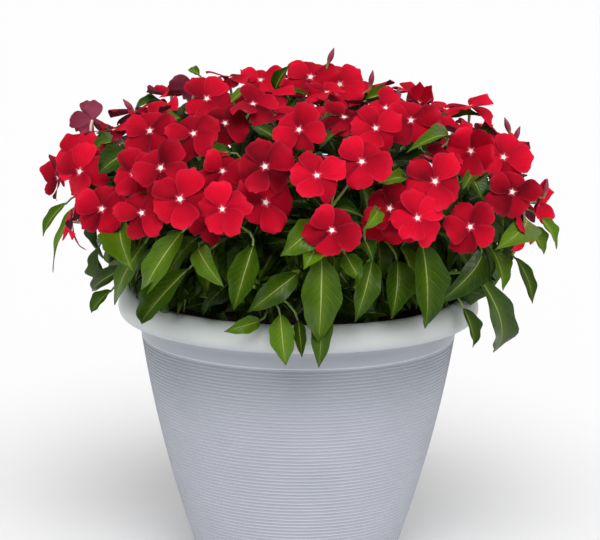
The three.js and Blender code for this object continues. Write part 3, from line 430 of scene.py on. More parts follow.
def place_blooms():
    blooms = []
    for across_sheet, up_sheet, turn, lift, spin, width, form, behind in FRONT_BLOOMS:
        blooms.append(clearest(SLIDES, lambda slide: make_bloom(
            on_mound(across_sheet, up_sheet, 1, slide - behind), turn, lift, spin, width, form), blooms))
    back = BACK_BLOOMS
    draw = seeded_draws(back.seed)
    drawn = 0
    for attempt in range(MOST_TRIES):
        if drawn == back.wanted:
            break
        compass = 2 * math.pi * draw()
        height = 1 - back.reach_down * draw() ** back.crowding
        flat = math.sqrt(1 - height * height) * MOUND_ACROSS
        place = polar(flat, compass, MOUND_MIDDLE + height * mound_tall(height))
        jitter_turn, jitter_lift, spin, size, form = draw(), draw(), draw(), draw(), draw()
        normal = mound_normal(place)
        if dot(normal, unit(minus(VIEWPOINT, place))) > FACES_VIEWPOINT:
            continue
        if any(length(minus(bloom.centre, place)) < back.apart for bloom in blooms):
            continue
        normal = unit(plus(normal, UP, BLOOM_TO_LIGHT))
        turn = math.degrees(math.atan2(normal[0], -normal[1])) + back.turn_spread * (jitter_turn - 0.5)
        lift = math.degrees(math.asin(normal[2])) + back.lift_spread * (jitter_lift - 0.5)
        width = back.narrowest + back.width_spread * size
        bloom = clearest(SLIDES, lambda slide: make_bloom(
            plus(place, normal, slide), turn, lift, back.spin_spread * spin, width,
            math.floor(HALF_OPEN * form)), blooms)
        if bloom.crossed == 0:
            blooms.append(bloom)
            drawn += 1
    return blooms


blooms = place_blooms()
print(len(blooms), "blooms,", sum(bloom.form == CUPPED for bloom in blooms), "of them cupped")

# %% [markdown]
# ## Bunches, buds and stems
#
# The narrow tubes behind one to three neighbouring blooms meet at the tip of one shoot, as they do on the
# plant. The shoots of neighbouring bunches fork from one stem, which stands in the potting mix.

# %% Bunches and buds
BUNCH_COUNT, BUNCH_SIZE = 42, 3
SHOOT_DEPTHS = [32, 38, 44, 28, 50, 24, 56]
TUBE_FROM_EYE = 4
BUD_GROW, BUD_LENGTH = 1.02, 16
FRONT_BUDS = [
    (27, 436, 20), (59, 418, 8), (80, 404, 0), (-146, 392, -40), (181, 373, 20), (168, 380, -20),
    (205, 329, 10), (18, 347, -60),
]


def mean_of(points):
    total = ORIGIN
    for point in points:
        total = plus(total, point)
    return tuple(part / len(points) for part in total)


def gather_bunches():
    bunches = [SimpleNamespace(members=[bloom], middle=bloom.centre, buds=[]) for bloom in blooms]
    while len(bunches) > BUNCH_COUNT:
        closest = None
        for one in range(len(bunches)):
            for other in range(one + 1, len(bunches)):
                if len(bunches[one].members) + len(bunches[other].members) > BUNCH_SIZE:
                    continue
                gap = length(minus(bunches[one].middle, bunches[other].middle))
                if closest is None or gap < closest[0]:
                    closest = (gap, one, other)
        merged = bunches.pop(closest[2])
        host = bunches[closest[1]]
        host.members += merged.members
        host.middle = mean_of([bloom.centre for bloom in host.members])
    return bunches


def choose_tip(bunch):
    """The tip of the shoot lies under its bunch, at the depth where its tubes clear the petals."""
    normal = mound_normal(bunch.middle)

    def make(depth):
        tip = plus(bunch.middle, normal, -depth)
        needles = [(plus(bloom.centre, bloom.facing, -TUBE_FROM_EYE), tip) for bloom in bunch.members]
        return SimpleNamespace(tip=tip, discs=[], needles=needles)

    best = clearest(SHOOT_DEPTHS, make, [bloom for other in bunches for bloom in other.members])
    bunch.tip = best.tip
    for bloom, needle in zip(bunch.members, best.needles):
        bloom.needles = [needle]


def place_buds():
    for across_sheet, up_sheet, lean in FRONT_BUDS:
        tip = on_mound(across_sheet, up_sheet, BUD_GROW, 0)
        bunch = min(bunches, key=lambda other: length(minus(other.tip, tip)))
        way = (math.sin(math.radians(lean)), 0, math.cos(math.radians(lean)))
        bunch.buds.append(SimpleNamespace(tip=tip, base=plus(tip, way, -BUD_LENGTH)))


bunches = gather_bunches()
for bunch in bunches:
    choose_tip(bunch)
place_buds()
print(len(bunches), "bunches")

# %% Stems and shoots
MIX_TOP = 206
HOLE_DEPTH, STRAIGHT_RISE = 15, 8
INNER_SHARE = 0.28
INNER_RING = SimpleNamespace(stems=4, foot_radius=24, low_shoot=False)
OUTER_RING = SimpleNamespace(stems=12, foot_radius=64, low_shoot=True)
FORK_AT, NEXT_FORK = 0.42, 0.14
LOW_FORK_AT, LOW_SHOOT_RADIUS, LOW_SHOOT_TOP = 0.7, 146, 266


def compass_of(point):
    return math.atan2(point[1], point[0])


def rounded(value):
    return math.floor(value + 0.5)


def place_stems():
    by_radius = sorted(bunches, key=lambda bunch: math.hypot(bunch.tip[0], bunch.tip[1]))
    inner = rounded(len(by_radius) * INNER_SHARE)
    stems = []
    for held_by_ring, ring in ((by_radius[:inner], INNER_RING), (by_radius[inner:], OUTER_RING)):
        held_by_ring.sort(key=lambda bunch: compass_of(bunch.tip))
        for index in range(ring.stems):
            first = rounded(index * len(held_by_ring) / ring.stems)
            held = held_by_ring[first:rounded((index + 1) * len(held_by_ring) / ring.stems)]
            middle = mean_of([bunch.tip for bunch in held])
            compass = compass_of(middle)
            foot = polar(ring.foot_radius, compass, MIX_TOP - HOLE_DEPTH)
            top = (foot[0], foot[1], MIX_TOP + STRAIGHT_RISE)
            fork = between(top, middle, FORK_AT)
            shoots = []
            for order, bunch in enumerate(held):
                start = between(fork, held[0].tip, NEXT_FORK * order)
                shoots.append(SimpleNamespace(start=start, end=bunch.tip, holds=[]))
            if ring.low_shoot:
                shoots.append(SimpleNamespace(
                    start=between(top, fork, LOW_FORK_AT), holds=[],
                    end=polar(LOW_SHOOT_RADIUS, compass, LOW_SHOOT_TOP)))
            stems.append(SimpleNamespace(foot=foot, top=top, fork=fork, shoots=shoots))
    return stems


stems = place_stems()
print(len(stems), "stems with", sum(len(stem.shoots) for stem in stems), "shoots")

# %% [markdown]
# ## Leaves
#
# The hanging fringe gives the plant its look from a step away, so its leaves are listed one by one. Each
# row below is one leaf: its base and its tip on the upright sheet, and its width. The rest of the fringe and
# some leaves between the blooms follow a rule. Each leaf is held at the free place on a shoot that lies
# nearest to its base.

# %% Leaves that show
FRONT_LEAVES = [
    (19, 262, 18, 188, 31), (102, 275, 107, 201, 29), (-97, 282, -133, 222, 24), (-38, 270, -53, 215, 22),
    (15, 289, -15, 261, 24), (-148, 288, -138, 248, 26), (182, 299, 162, 270, 25), (82, 259, 79, 209, 23),
    (61, 259, 48, 206, 21), (152, 265, 114, 220, 24), (149, 247, 163, 181, 20), (-91, 251, -131, 202, 22),
    (-1, 247, -42, 213, 20), (20, 230, 18, 166, 17), (-84, 268, -63, 234, 20), (16, 275, 5, 250, 19),
    (39, 263, 52, 239, 17), (55, 275, 62, 258, 14), (-128, 272, -154, 219, 18),
    (-142, 252, -172, 230, 14), (-156, 231, -173, 211, 10), (161, 268, 171, 234, 17),
    (180, 263, 195, 223, 11), (188, 288, 204, 266, 15), (200, 296, 214, 270, 15),
    (138, 219, 147, 185, 14), (-15, 212, -11, 168, 20), (0, 207, 4, 175, 10), (-32, 206, -62, 196, 13),
    (-193, 305, -213, 276, 9), (-182, 304, -205, 246, 11), (-21, 401, -9, 421, 10),
    (-59, 388, -38, 401, 9), (-19, 393, 8, 397, 10), (-20, 360, -41, 371, 13), (-58, 349, -78, 341, 14),
    (-138, 349, -166, 329, 20), (-150, 356, -161, 346, 9), (-151, 359, -168, 364, 12),
    (53, 393, 78, 397, 10), (123, 379, 152, 380, 11), (149, 365, 159, 374, 8), (34, 366, 15, 352, 14),
    (122, 362, 88, 349, 14), (86, 329, 64, 323, 10), (139, 332, 151, 312, 20), (141, 332, 134, 319, 10),
    (-83, 413, -93, 416, 9), (65, 301, 53, 284, 13), (-5, 326, 8, 309, 12),
]
LEAF_ARCH = 0.13
TURN_TO_VIEWPOINT, LEAF_TO_LIGHT = 1.2, 0.12
BLADE_SHARES, BLADE_REACH, SHORTEST_REACH = (0.22, 0.5, 0.78), 0.42, 0.15
LEAF_SLIDES = [(0, 0), (6, 6), (-6, -6), (0, 8), (12, 12), (-12, -6), (8, 0), (-18, -12), (18, 18)]
BASE_GROW, HANGING_GROW, UPPER_GROW, UPPER_FROM = 0.9, 1, 0.94, 300
HOLD_SPACING, HOLD_FROM_TIP = 5.5, 11
LOWEST_HOLD, CLOSEST_HOLDS = 0.15, 0.9


def arch_at(share, size=1.0):
    """How far a leaf of some length stands above the straight line from its base to its tip."""
    return LEAF_ARCH * size * 4 * share * (1 - share)


def nearest_on_shoot(shoot, point):
    way = minus(shoot.end, shoot.start)
    highest = 1 - HOLD_FROM_TIP / length(way)
    step = HOLD_SPACING / length(way)
    share = dot(minus(point, shoot.start), way) / dot(way, way)
    wanted = min(max(share, LOWEST_HOLD), highest)
    offset = 0.0
    while offset < 1:
        for tried in (wanted - offset, wanted + offset):
            free = all(abs(held - tried) > CLOSEST_HOLDS * step for held in shoot.holds)
            if free and LOWEST_HOLD <= tried <= highest:
                return tried
        offset += step
    return wanted


def nearest_hold(point):
    best = None
    for stem in stems:
        for shoot in stem.shoots:
            share = nearest_on_shoot(shoot, point)
            place = between(shoot.start, shoot.end, share)
            gap = length(minus(place, point))
            if best is None or gap < best.gap:
                best = SimpleNamespace(shoot=shoot, share=share, place=place, gap=gap)
    return best


def make_leaf(base, tip, width, shows):
    """The blade turns its face outwards, and a leaf that shows also turns it to the viewpoint."""
    size = length(minus(tip, base))
    way = unit(minus(tip, base))
    middle = between(base, tip, 0.5)
    outward = mound_normal(middle)
    if middle[2] < MOUND_MIDDLE:
        outward = unit((middle[0], middle[1], 0))
    if shows:
        outward = plus(outward, unit(minus(VIEWPOINT, middle)), TURN_TO_VIEWPOINT)
    normal = square_to(way, plus(outward, UP, LEAF_TO_LIGHT))
    hold = nearest_hold(base)
    discs = []
    for share in BLADE_SHARES:
        place = plus(between(base, tip, share), normal, arch_at(share, size))
        facing = unit(plus(normal, way, -4 * LEAF_ARCH * (1 - 2 * share)))
        discs.append((place, facing, max(width * BLADE_REACH, size * SHORTEST_REACH)))
    return SimpleNamespace(
        base=base, tip=tip, way=way, normal=normal, length=size, width=width, hold=hold,
        discs=discs, needles=[(hold.place, base)])


def keep_leaf(leaf):
    leaves.append(leaf)
    leaf.hold.shoot.holds.append(leaf.hold.share)


def place_front_leaves():
    for base_across, base_up, tip_across, tip_up, width in FRONT_LEAVES:
        tip_grow = HANGING_GROW if tip_up < UPPER_FROM else UPPER_GROW
        keep_leaf(clearest(LEAF_SLIDES, lambda slide: make_leaf(
            on_mound(base_across, base_up, BASE_GROW, slide[0]),
            on_mound(tip_across, tip_up, tip_grow, slide[1]), width, True), blooms + leaves))


leaves = []
place_front_leaves()
print(len(leaves), "leaves that show")

# %% Leaves round the back
BASES_APART, LONGEST_STALK = 17, 62
SWAY, LIFT_OFF = 1.1, 0.22
HANGING = SimpleNamespace(
    wanted=32, furthest_back=-0.1, grow=0.84, grow_spread=0.1, level=-8, level_spread=-62, size=42,
    size_spread=30, width=16, width_share=0.2, hint=lambda turn: (0.0, 0.0, -1.0))
BETWEEN_BLOOMS = SimpleNamespace(
    wanted=14, furthest_back=-0.55, grow=0.88, grow_spread=0.06, level=6, level_spread=74, size=24,
    size_spread=12, width=0, width_share=0.42, hint=lambda turn: polar(1, turn, -0.2))


def add_drawn_leaves(kind):
    drawn = 0
    for attempt in range(MOST_TRIES):
        if drawn == kind.wanted:
            break
        compass = 2 * math.pi * leaf_draw()
        height, sway, size, reach, depth = (leaf_draw() for part in range(5))
        if math.sin(compass) < kind.furthest_back:
            continue
        grow = kind.grow + kind.grow_spread * depth
        level = MOUND_MIDDLE + kind.level + kind.level_spread * height
        rise = (level - MOUND_MIDDLE) / mound_tall(level - MOUND_MIDDLE)
        base = polar(MOUND_ACROSS * math.sqrt(max(grow * grow - rise ** 2, 0)), compass, level)
        if any(length(minus(leaf.base, base)) < BASES_APART for leaf in leaves):
            continue
        size = kind.size + kind.size_spread * size
        outward = mound_normal(base)
        down = square_to(outward, kind.hint(7 * reach))
        way = unit(plus(plus(down, cross(outward, down), (sway - 0.5) * SWAY), outward, LIFT_OFF))
        leaf = make_leaf(base, plus(base, way, size), kind.width + kind.width_share * size, False)
        if leaf.hold.gap <= LONGEST_STALK and not crossings(leaf, blooms + leaves):
            keep_leaf(leaf)
            drawn += 1


leaf_draw = seeded_draws(911)
add_drawn_leaves(HANGING)
add_drawn_leaves(BETWEEN_BLOOMS)
print(len(leaves), "leaves in all")

# %% [markdown]
# ## Helpers for meshes and rules
#
# A plain mesh comes from a list of points and faces. What repeats is made by Geometry Nodes: a rule is a
# small node tree with named inputs, it is run once on a starting mesh, and its result is kept as a plain
# mesh. The modifier doesn't stay, so every finished piece sits at the origin with its place in its mesh.

# %% Meshes
def mesh_of(name, points, faces=(), edges=()):
    """A mesh from points in millimetres."""
    mesh = bpy.data.meshes.new(name)
    mesh.from_pydata([(x * MM, y * MM, z * MM) for x, y, z in points], edges, faces)
    mesh.update()
    return mesh


def object_of(name, mesh):
    made = bpy.data.objects.new(name, mesh)
    bpy.context.scene.collection.objects.link(made)
    return made


def note(mesh, name, kind, domain, values):
    """Writes an attribute: one value for each point or face. Vectors are given as flat lists."""
    field = "vector" if kind == "FLOAT_VECTOR" else "value"
    mesh.attributes.new(name, kind, domain).data.foreach_set(field, values)


def smooth(mesh):
    mesh.polygons.foreach_set("use_smooth", [True] * len(mesh.polygons))


def keep_result(piece):
    """Keeps what an object's modifiers make of its mesh, and removes them."""
    whole = piece.evaluated_get(bpy.context.evaluated_depsgraph_get())
    piece.data = bpy.data.meshes.new_from_object(whole)
    piece.modifiers.clear()


def dress(piece, material, nodes):
    """Says what a finished piece is made of, which body it rides on and which solids it stands for."""
    if not piece.data.materials:
        piece.data.materials.append(material)
    smooth(piece.data)
    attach(piece, "root")
    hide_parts(*nodes)
    print(piece.name, sum(len(face.vertices) - 2 for face in piece.data.polygons), "triangles")


print("mesh helpers ready")

# %% Rules for Geometry Nodes
NAMED, CIRCLE = "GeometryNodeInputNamedAttribute", "GeometryNodeCurvePrimitiveCircle"
SWEEP, ON_POINTS = "GeometryNodeCurveToMesh", "GeometryNodeInstanceOnPoints"


def new_rule(name, **inputs):
    """A node tree with geometry in and out and some named inputs, and what its input node gives."""
    rule = bpy.data.node_groups.new(name, "GeometryNodeTree")
    for label, kind in {"Geometry": "Geometry", **inputs}.items():
        rule.interface.new_socket(label, in_out="INPUT", socket_type="NodeSocket" + kind)
    rule.interface.new_socket("Geometry", in_out="OUTPUT", socket_type="NodeSocketGeometry")
    return rule, add(rule, "NodeGroupInput").outputs


def finish_rule(rule, instances, material):
    """Turns instances into real faces, gives them their material and ends the rule."""
    real = add(rule, "GeometryNodeRealizeInstances", instances)
    add(rule, "NodeGroupOutput", add(rule, "GeometryNodeSetMaterial", Geometry=real, Material=material))
    print(rule.name, "is a rule of", len(rule.nodes), "nodes")


def grow_piece(name, mesh, rule, **values):
    """Runs a rule on a mesh and keeps the result as a plain mesh."""
    piece = object_of(name, mesh)
    modifier = piece.modifiers.new("rule", "NODES")
    modifier.node_group = rule
    for item in rule.interface.items_tree:
        if item.in_out == "INPUT" and item.name in values:
            modifier[item.identifier] = values[item.name]
    keep_result(piece)
    return piece


print("rule helpers ready")

# %% [markdown]
# ## The pot
#
# The pot is injection moulded in one piece of satin pale grey plastic. It is a turned shape, so one profile
# is spun round the axis: a gently convex wall, a plain band, and a rim that is rolled over and down. The
# profile is the solid's own, only finer. Five drain holes are left as dark wells in the foot. A Screw
# modifier on a profile line could do it too, but rings that are written out directly keep the profile and
# its points in one place.

# %% The pot's profile
RIBS_BOTTOM, RIBS_TOP = 10.0, 196.0
FOOT_RADIUS, WALL_FLARE, WALL_BULGE, WALL_SPAN = 80, 68.5, 19, 192
POT_WALL, POT_FLOOR, POT_HEIGHT = 4.0, 6.0, 235.0
POT_SEGMENTS = 192
OUTER_LEVELS = range(10, 197, 6)
INNER_LEVELS = (192, 160, 128, 96, 64, 32, POT_FLOOR + 2)
CORNER_CUT = 0.25


def profile_radius(height):
    share = height / WALL_SPAN
    return FOOT_RADIUS + WALL_FLARE * share - WALL_BULGE * share * share


def rounded_outline(corners, rounds):
    """Cuts every inner corner of an open outline, as often as asked."""
    near, far = 1 - CORNER_CUT, CORNER_CUT
    for turn in range(rounds):
        softer = [corners[0]]
        for (x0, y0), (x1, y1) in zip(corners, corners[1:]):
            softer.append((x0 * near + x1 * far, y0 * near + y1 * far))
            softer.append((x0 * far + x1 * near, y0 * far + y1 * near))
        corners = softer + [corners[-1]]
    return corners


foot = [(0.0, 0.0), (profile_radius(0) - 2, 0.0), (profile_radius(2) - 0.3, 1.2), (profile_radius(4), 4.0)]
wall = [(profile_radius(height), height) for height in OUTER_LEVELS]
rim = [
    (131, 198), (132.5, 207), (134.2, 222), (136, 227.5), (141, 230), (145.2, 227.6), (146.2, 223.4),
    (144.4, 219), (143.3, 215.6), (144.5, 213.5), (146.6, 213.8), (149.2, 216.6), (150.4, 221.4),
    (149.6, 226.6), (147, 231), (142.6, 234.5), (138.2, 235.4), (134, 233.4), (131.2, 229.4), (129.5, 224),
]
inner = [(profile_radius(height) - POT_WALL, height) for height in INNER_LEVELS]
base = [(profile_radius(POT_FLOOR) - POT_WALL - 2, POT_FLOOR), (0.0, POT_FLOOR)]
pot_outline = foot + wall + rounded_outline(rim, 2) + inner + base
print(len(pot_outline), "profile points, rim", round(max(pot_outline)[0], 1), "mm")


# %% Spin the profile
def ring_of(radius, height, segments, middle=ORIGIN):
    """The points of a level ring."""
    return [plus(middle, polar(radius, 2 * math.pi * step / segments, height)) for step in range(segments)]


def spun(name, outline, segments):
    """A closed turned body. The first and last points of its outline lie on the axis."""
    points, faces = [(0.0, 0.0, outline[0][1]), (0.0, 0.0, outline[-1][1])], []
    for radius, height in outline[1:-1]:
        points += ring_of(radius, height, segments)
    top = len(points) - segments
    for step in range(segments):
        after = (step + 1) % segments
        faces.append((0, 2 + after, 2 + step))
        for low in range(2, top, segments):
            faces.append((low + step, low + after, low + segments + after, low + segments + step))
        faces.append((1, top + step, top + after))
    return mesh_of(name, points, faces)


pot = object_of("pot_shell", spun("pot_shell", pot_outline, POT_SEGMENTS))
print(len(pot.data.polygons), "faces")

# %% [markdown]
# The drain holes are cut with a boolean, which is what the mould's pins do to the real pot. The cutter is
# one mesh of five short rods, and the modifier's result is kept as a plain mesh.

# %% Cut the drain holes
DRAIN_HOLES, DRAIN_RADIUS, DRAIN_RING, ROD_SIDES = 5, 6.0, 52.0, 32


def rods(places, radius, low, high, sides):
    points, faces = [], []
    for place in places:
        first = len(points)
        for height in (low, high):
            points += ring_of(radius, height, sides, place)
        for step in range(sides):
            after = (step + 1) % sides
            faces.append((first + step, first + after, first + sides + after, first + sides + step))
        faces.append(tuple(range(first + sides - 1, first - 1, -1)))
        faces.append(tuple(range(first + sides, first + 2 * sides)))
    return mesh_of("drain_rods", points, faces)


hole_places = [polar(DRAIN_RING, 2 * math.pi * hole / DRAIN_HOLES, 0.0) for hole in range(DRAIN_HOLES)]
cutter = object_of("drain_rods", rods(hole_places, DRAIN_RADIUS, -1.0, POT_FLOOR + 1, ROD_SIDES))
drilling = pot.modifiers.new("drain holes", "BOOLEAN")
drilling.operation = "DIFFERENCE"
drilling.object = cutter
keep_result(pot)
bpy.data.objects.remove(cutter)
print(len(pot.data.polygons), "faces after drilling")

# %% [markdown]
# ## The ribs
#
# Below the plain band the wall carries fine level ribs, three millimetres apart. They repeat and follow the
# wall, so Geometry Nodes lay one half-sunk hoop at each height and stretch it to the wall's radius there.
# Steps in the profile could do it as well, but one hoop of its own stays round and is changed in one place.

# %% The rule for hoops on a wall
RIB_PITCH, RIB_STAND, RIB_SEGMENTS, BEAD_SIDES = 3.0, 0.6, 160, 8
MIDDLING_RADIUS = 110

hoops, given = new_rule("level hoops", Stand="Float", Segments="Int", Material="Material")
ring, bead = (
    add(hoops, CIRCLE, sides, size)
    for sides, size in ((given["Segments"], 1.0), (BEAD_SIDES, given["Stand"])))
hoop = add(hoops, SWEEP, ring, bead)
wall_radius = add(hoops, NAMED, "wall_radius", data_type="FLOAT")
stretch = add(hoops, "ShaderNodeCombineXYZ", wall_radius, wall_radius, MIDDLING_RADIUS * MM)
finish_rule(hoops, add(hoops, ON_POINTS, given["Geometry"], Instance=hoop, Scale=stretch), given["Material"])

# %% [markdown]
# The plastic itself is a cool pale grey with a satin skin. A very fine grain breaks its highlights, broad
# faint clouds vary its tone, and broad smears darken it in patches. The rim is painted a shade lighter and
# less blue, a painted highlight where it catches the light. Painted shade darkens the hollow under it,
# where the rim's shadow falls, and lies in the grooves near the band, and the band's lower edge carries a
# thin painted highlight. These marks could be painted on a picture, but worked out from height and noise
# they need none. Real grain is finer than the render shows, so it is drawn 0.7 mm wide.

# %% Satin moulded polypropylene
RIM_UNDER, RIM_LIT = 0.21, 0.221
HOLLOW_FROM, HOLLOW_FULL, HOLLOW_TO, HOLLOW_SHADE = 0.13, 0.194, 0.206, 0.38
# Where the painted shade in the grooves starts, and how strong it is at least and at most.
GROOVE_SHADE_FROM, GROOVE_SHADE_LEAST, GROOVE_SHADE_MOST = 0.15, 0.05, 0.52
RIBS_END, LIP_END, EDGE_BLUR, LIP_HIGHLIGHT_SHARE = RIBS_TOP * MM, 0.1975, 0.0006, 0.5
CLOUD_WIDTH, SMEAR_WIDTH, GRAIN_WIDTH = 111.11, 62.5, 0.71429


def per_metre(width):
    """The scale of a pattern whose cells have a width in millimetres."""
    return 1 / (width * MM)


plastic, tree = new_material("satin moulded polypropylene")
place = add(tree, "ShaderNodeTexCoord").outputs["Object"]
height = add(tree, "ShaderNodeSeparateXYZ", place).outputs["Z"]
clouds, smears, grain = (
    add(tree, NOISE, place, per_metre(width), detail)
    for width, detail in ((CLOUD_WIDTH, 3.0), (SMEAR_WIDTH, 5.0), (GRAIN_WIDTH, 2.0)))
# Painted highlight: the rim is a shade lighter and less blue, where it catches the light.
rim_highlight_share = add(tree, RANGE, height, RIM_UNDER, RIM_LIT)
# Painted shade in the hollow under the rim, where the rim's shadow falls on the band.
above_ribs = add(tree, RANGE, height, HOLLOW_FROM, HOLLOW_FULL, 0.0, HOLLOW_SHADE, **SOFTLY)
below_rim = add(tree, RANGE, height, HOLLOW_TO, RIM_UNDER, 1.0, 0.0)
rim_shadow_share = add(tree, MATH, above_ribs, below_rim, operation="MULTIPLY")
smeared = add(tree, RANGE, smears, 0.5, 0.75, 0.0, 0.3)
# Painted shade in the grooves between the ribs, strongest just under the band and fading downwards.
ribs_passed = add(
    tree, MATH, height, 1 / (RIB_PITCH * MM), -RIBS_BOTTOM / RIB_PITCH, operation="MULTIPLY_ADD")
past_rib = add(tree, MATH, ribs_passed, operation="FRACT")
off_groove = add(tree, MATH, add(tree, MATH, past_rib, 0.5, operation="SUBTRACT"), operation="ABSOLUTE")
in_groove = add(tree, RANGE, off_groove, 0.1, 0.3, 1.0, 0.0, **SOFTLY)
near_band = add(tree, RANGE, height, GROOVE_SHADE_FROM, HOLLOW_FULL, GROOVE_SHADE_LEAST, GROOVE_SHADE_MOST, **SOFTLY)
on_ribs, under_lip = (
    add(tree, RANGE, height, edge, edge + EDGE_BLUR, 1.0, 0.0, **SOFTLY) for edge in (RIBS_END, LIP_END))
groove_shade = add(tree, MATH, in_groove, near_band, operation="MULTIPLY")
painted_groove_shade = add(tree, MATH, groove_shade, on_ribs, operation="MULTIPLY")
# Painted highlight: a thin lighter line along the band's lower edge, just above the ribs.
lip = add(tree, MATH, under_lip, on_ribs, operation="SUBTRACT")
lip_highlight_share = add(tree, MATH, lip, LIP_HIGHLIGHT_SHARE, operation="MULTIPLY")
colour = add(tree, RAMP, clouds, stops=((0.3, "#aeb0bb"), (0.7, "#b4b6c2")))
for share, over in (
        (rim_highlight_share, "#c4c9c8"), (rim_shadow_share, "#828b8f"), (smeared, "#99a0a3"), (painted_groove_shade, "#6c7480"),
        (lip_highlight_share, "#d6dae0")):
    colour = add(tree, MIX, share, colour, over, **OF_COLOURS)
finish_material(
    tree, Base_Color=colour, Roughness=add(tree, RANGE, clouds, 0.3, 0.7, 0.38, 0.48),
    Normal=add(tree, BUMP, 0.08, 0.0002, Height=grain))

# %% Lay the ribs and dress the pot
RIB_COUNT = int((RIBS_TOP - RIBS_BOTTOM) / RIB_PITCH) + 1

rib_levels = [RIBS_BOTTOM + RIB_PITCH * step for step in range(RIB_COUNT)]
rib_points = mesh_of("pot_ribs", [(0.0, 0.0, level) for level in rib_levels])
note(rib_points, "wall_radius", "FLOAT", "POINT", [profile_radius(level) * MM for level in rib_levels])
ribs = grow_piece(
    "pot_ribs", rib_points, hoops, Stand=RIB_STAND / MIDDLING_RADIUS, Segments=RIB_SEGMENTS,
    Material=plastic)
dress(pot, plastic, ["pot"])
dress(ribs, plastic, ["pot"])

# %% [markdown]
# ## The potting mix
#
# The mix fills the pot to a little below the rim. It shows only as a near-black gap behind the leaves, but
# it carries every stem. Its surface is heaped slightly, roughened by noise, and strewn with crumbs of bark.
# A flat disc would look too clean between the leaves, so it is a spun body whose top is pushed up and down.

# %% The body of the mix
MIX_ROUGHNESS, MIX_CRUMBLE = 2.2, 0.5
MIX_RINGS, MIX_SEGMENTS = 40, 112
MIX_LEVELS = (40, 80, 120, 160, 192)
CLEARANCE = 0.35


def mix_height(x, y):
    waves = math.sin(x / 13) * math.cos(y / 11)
    crumble = math.sin(x * 0.9 + y * 0.4) * math.cos(y * 0.8 - x * 0.3)
    crumble += math.sin(x * 1.9) * math.sin(y * 2.3)
    return MIX_TOP + MIX_ROUGHNESS * waves + MIX_CRUMBLE * crumble


mix_edge = profile_radius(MIX_TOP) - POT_WALL - CLEARANCE - 1
mix_outline = [
    (0.0, POT_FLOOR + CLEARANCE), (profile_radius(POT_FLOOR) - POT_WALL - 2, POT_FLOOR + CLEARANCE)]
mix_outline += [(profile_radius(level) - POT_WALL - 1, level) for level in MIX_LEVELS]
mix_outline += [(mix_edge * ring / MIX_RINGS, MIX_TOP) for ring in range(MIX_RINGS, -1, -1)]
mix_mesh = spun("potting_mix_bed", mix_outline, MIX_SEGMENTS)
for vertex in mix_mesh.vertices:
    if vertex.co.z > (MIX_TOP - 1) * MM:
        vertex.co.z = mix_height(vertex.co.x / MM, vertex.co.y / MM) * MM
bed = object_of("potting_mix_bed", mix_mesh)
print(len(mix_mesh.polygons), "faces, edge at", round(mix_edge, 1), "mm")

# %% [markdown]
# Peat is nearly black and quite matt, and soaks up the light between its fibres. Crumbs of bark are
# scattered on it by a second rule: points at random on a disc, with one rough pebble on each, turned and
# sized by chance from a fixed seed. A bump alone leaves an outline flat, so the crumbs are real pebbles.

# %% Dark peat
LUMP_WIDTH = 3.8462

peat, tree = new_material("dark peat and bark")
lumps = add(tree, NOISE, add(tree, "ShaderNodeTexCoord").outputs["Object"], per_metre(LUMP_WIDTH), 6.0, 0.7)
finish_material(
    tree, Base_Color=add(tree, RAMP, lumps, stops=((0.35, "#15100c"), (0.7, "#3a2c20"))), Roughness=0.95,
    Normal=add(tree, BUMP, 0.9, 0.002, Height=lumps))
dress(bed, peat, ["potting_mix"])

# %% Strew the crumbs
CRUMBS_PER_M2, CRUMB_SEED, CRUMB_SIZE = 22000.0, 5, 1.6
STREWN_INSIDE, STREWN_SEGMENTS = 5, 48

strewing, given = new_rule(
    "crumbs on a surface", Density="Float", Seed="Int", Size="Float", Material="Material")
spots = add(
    strewing, "GeometryNodeDistributePointsOnFaces", given["Geometry"], Density=given["Density"],
    Seed=given["Seed"])
pebble = add(strewing, "GeometryNodeMeshIcoSphere", given["Size"], 1)
sized, spun_round = (
    add(strewing, "FunctionNodeRandomValue", least, most, data_type="FLOAT_VECTOR", Seed=given["Seed"])
    for least, most in (((0.5, 0.4, 0.3), (1.9, 1.3, 0.8)), ((0.0, 0.0, 0.0), (1.0, 1.0, 6.28))))
strewn = add(strewing, ON_POINTS, spots, Instance=pebble, Rotation=spun_round, Scale=sized)
finish_rule(strewing, strewn, given["Material"])

crumb_outline = [(0.0, MIX_TOP), (mix_edge - STREWN_INSIDE, MIX_TOP), (0.0, MIX_TOP + 0.01)]
crumbs = grow_piece(
    "bark_crumbs", spun("bark_crumbs", crumb_outline, STREWN_SEGMENTS), strewing, Density=CRUMBS_PER_M2,
    Seed=CRUMB_SEED, Size=CRUMB_SIZE * MM, Material=peat)
dress(crumbs, peat, ["potting_mix"])

# %% [markdown]
# ## Stems, shoots and stalks
#
# Every green stem is a line first: a few points and a thickness at each. One rule turns such lines into
# round limbs by sweeping a circle along them, so stems, leaf stalks, flower tubes and buds all come from the
# same rule. Each could be modelled by hand instead, but a line is easy to place from the layout and to bend.

# %% The rule for limbs along lines
limbs, given = new_rule("limbs along lines", Sides="Int", Material="Material")
lines = add(limbs, "GeometryNodeMeshToCurve", given["Geometry"])
thickness = add(limbs, NAMED, "thickness", data_type="FLOAT")
section = add(limbs, CIRCLE, given["Sides"], MM)
finish_rule(limbs, add(limbs, SWEEP, lines, section, thickness, True), given["Material"])


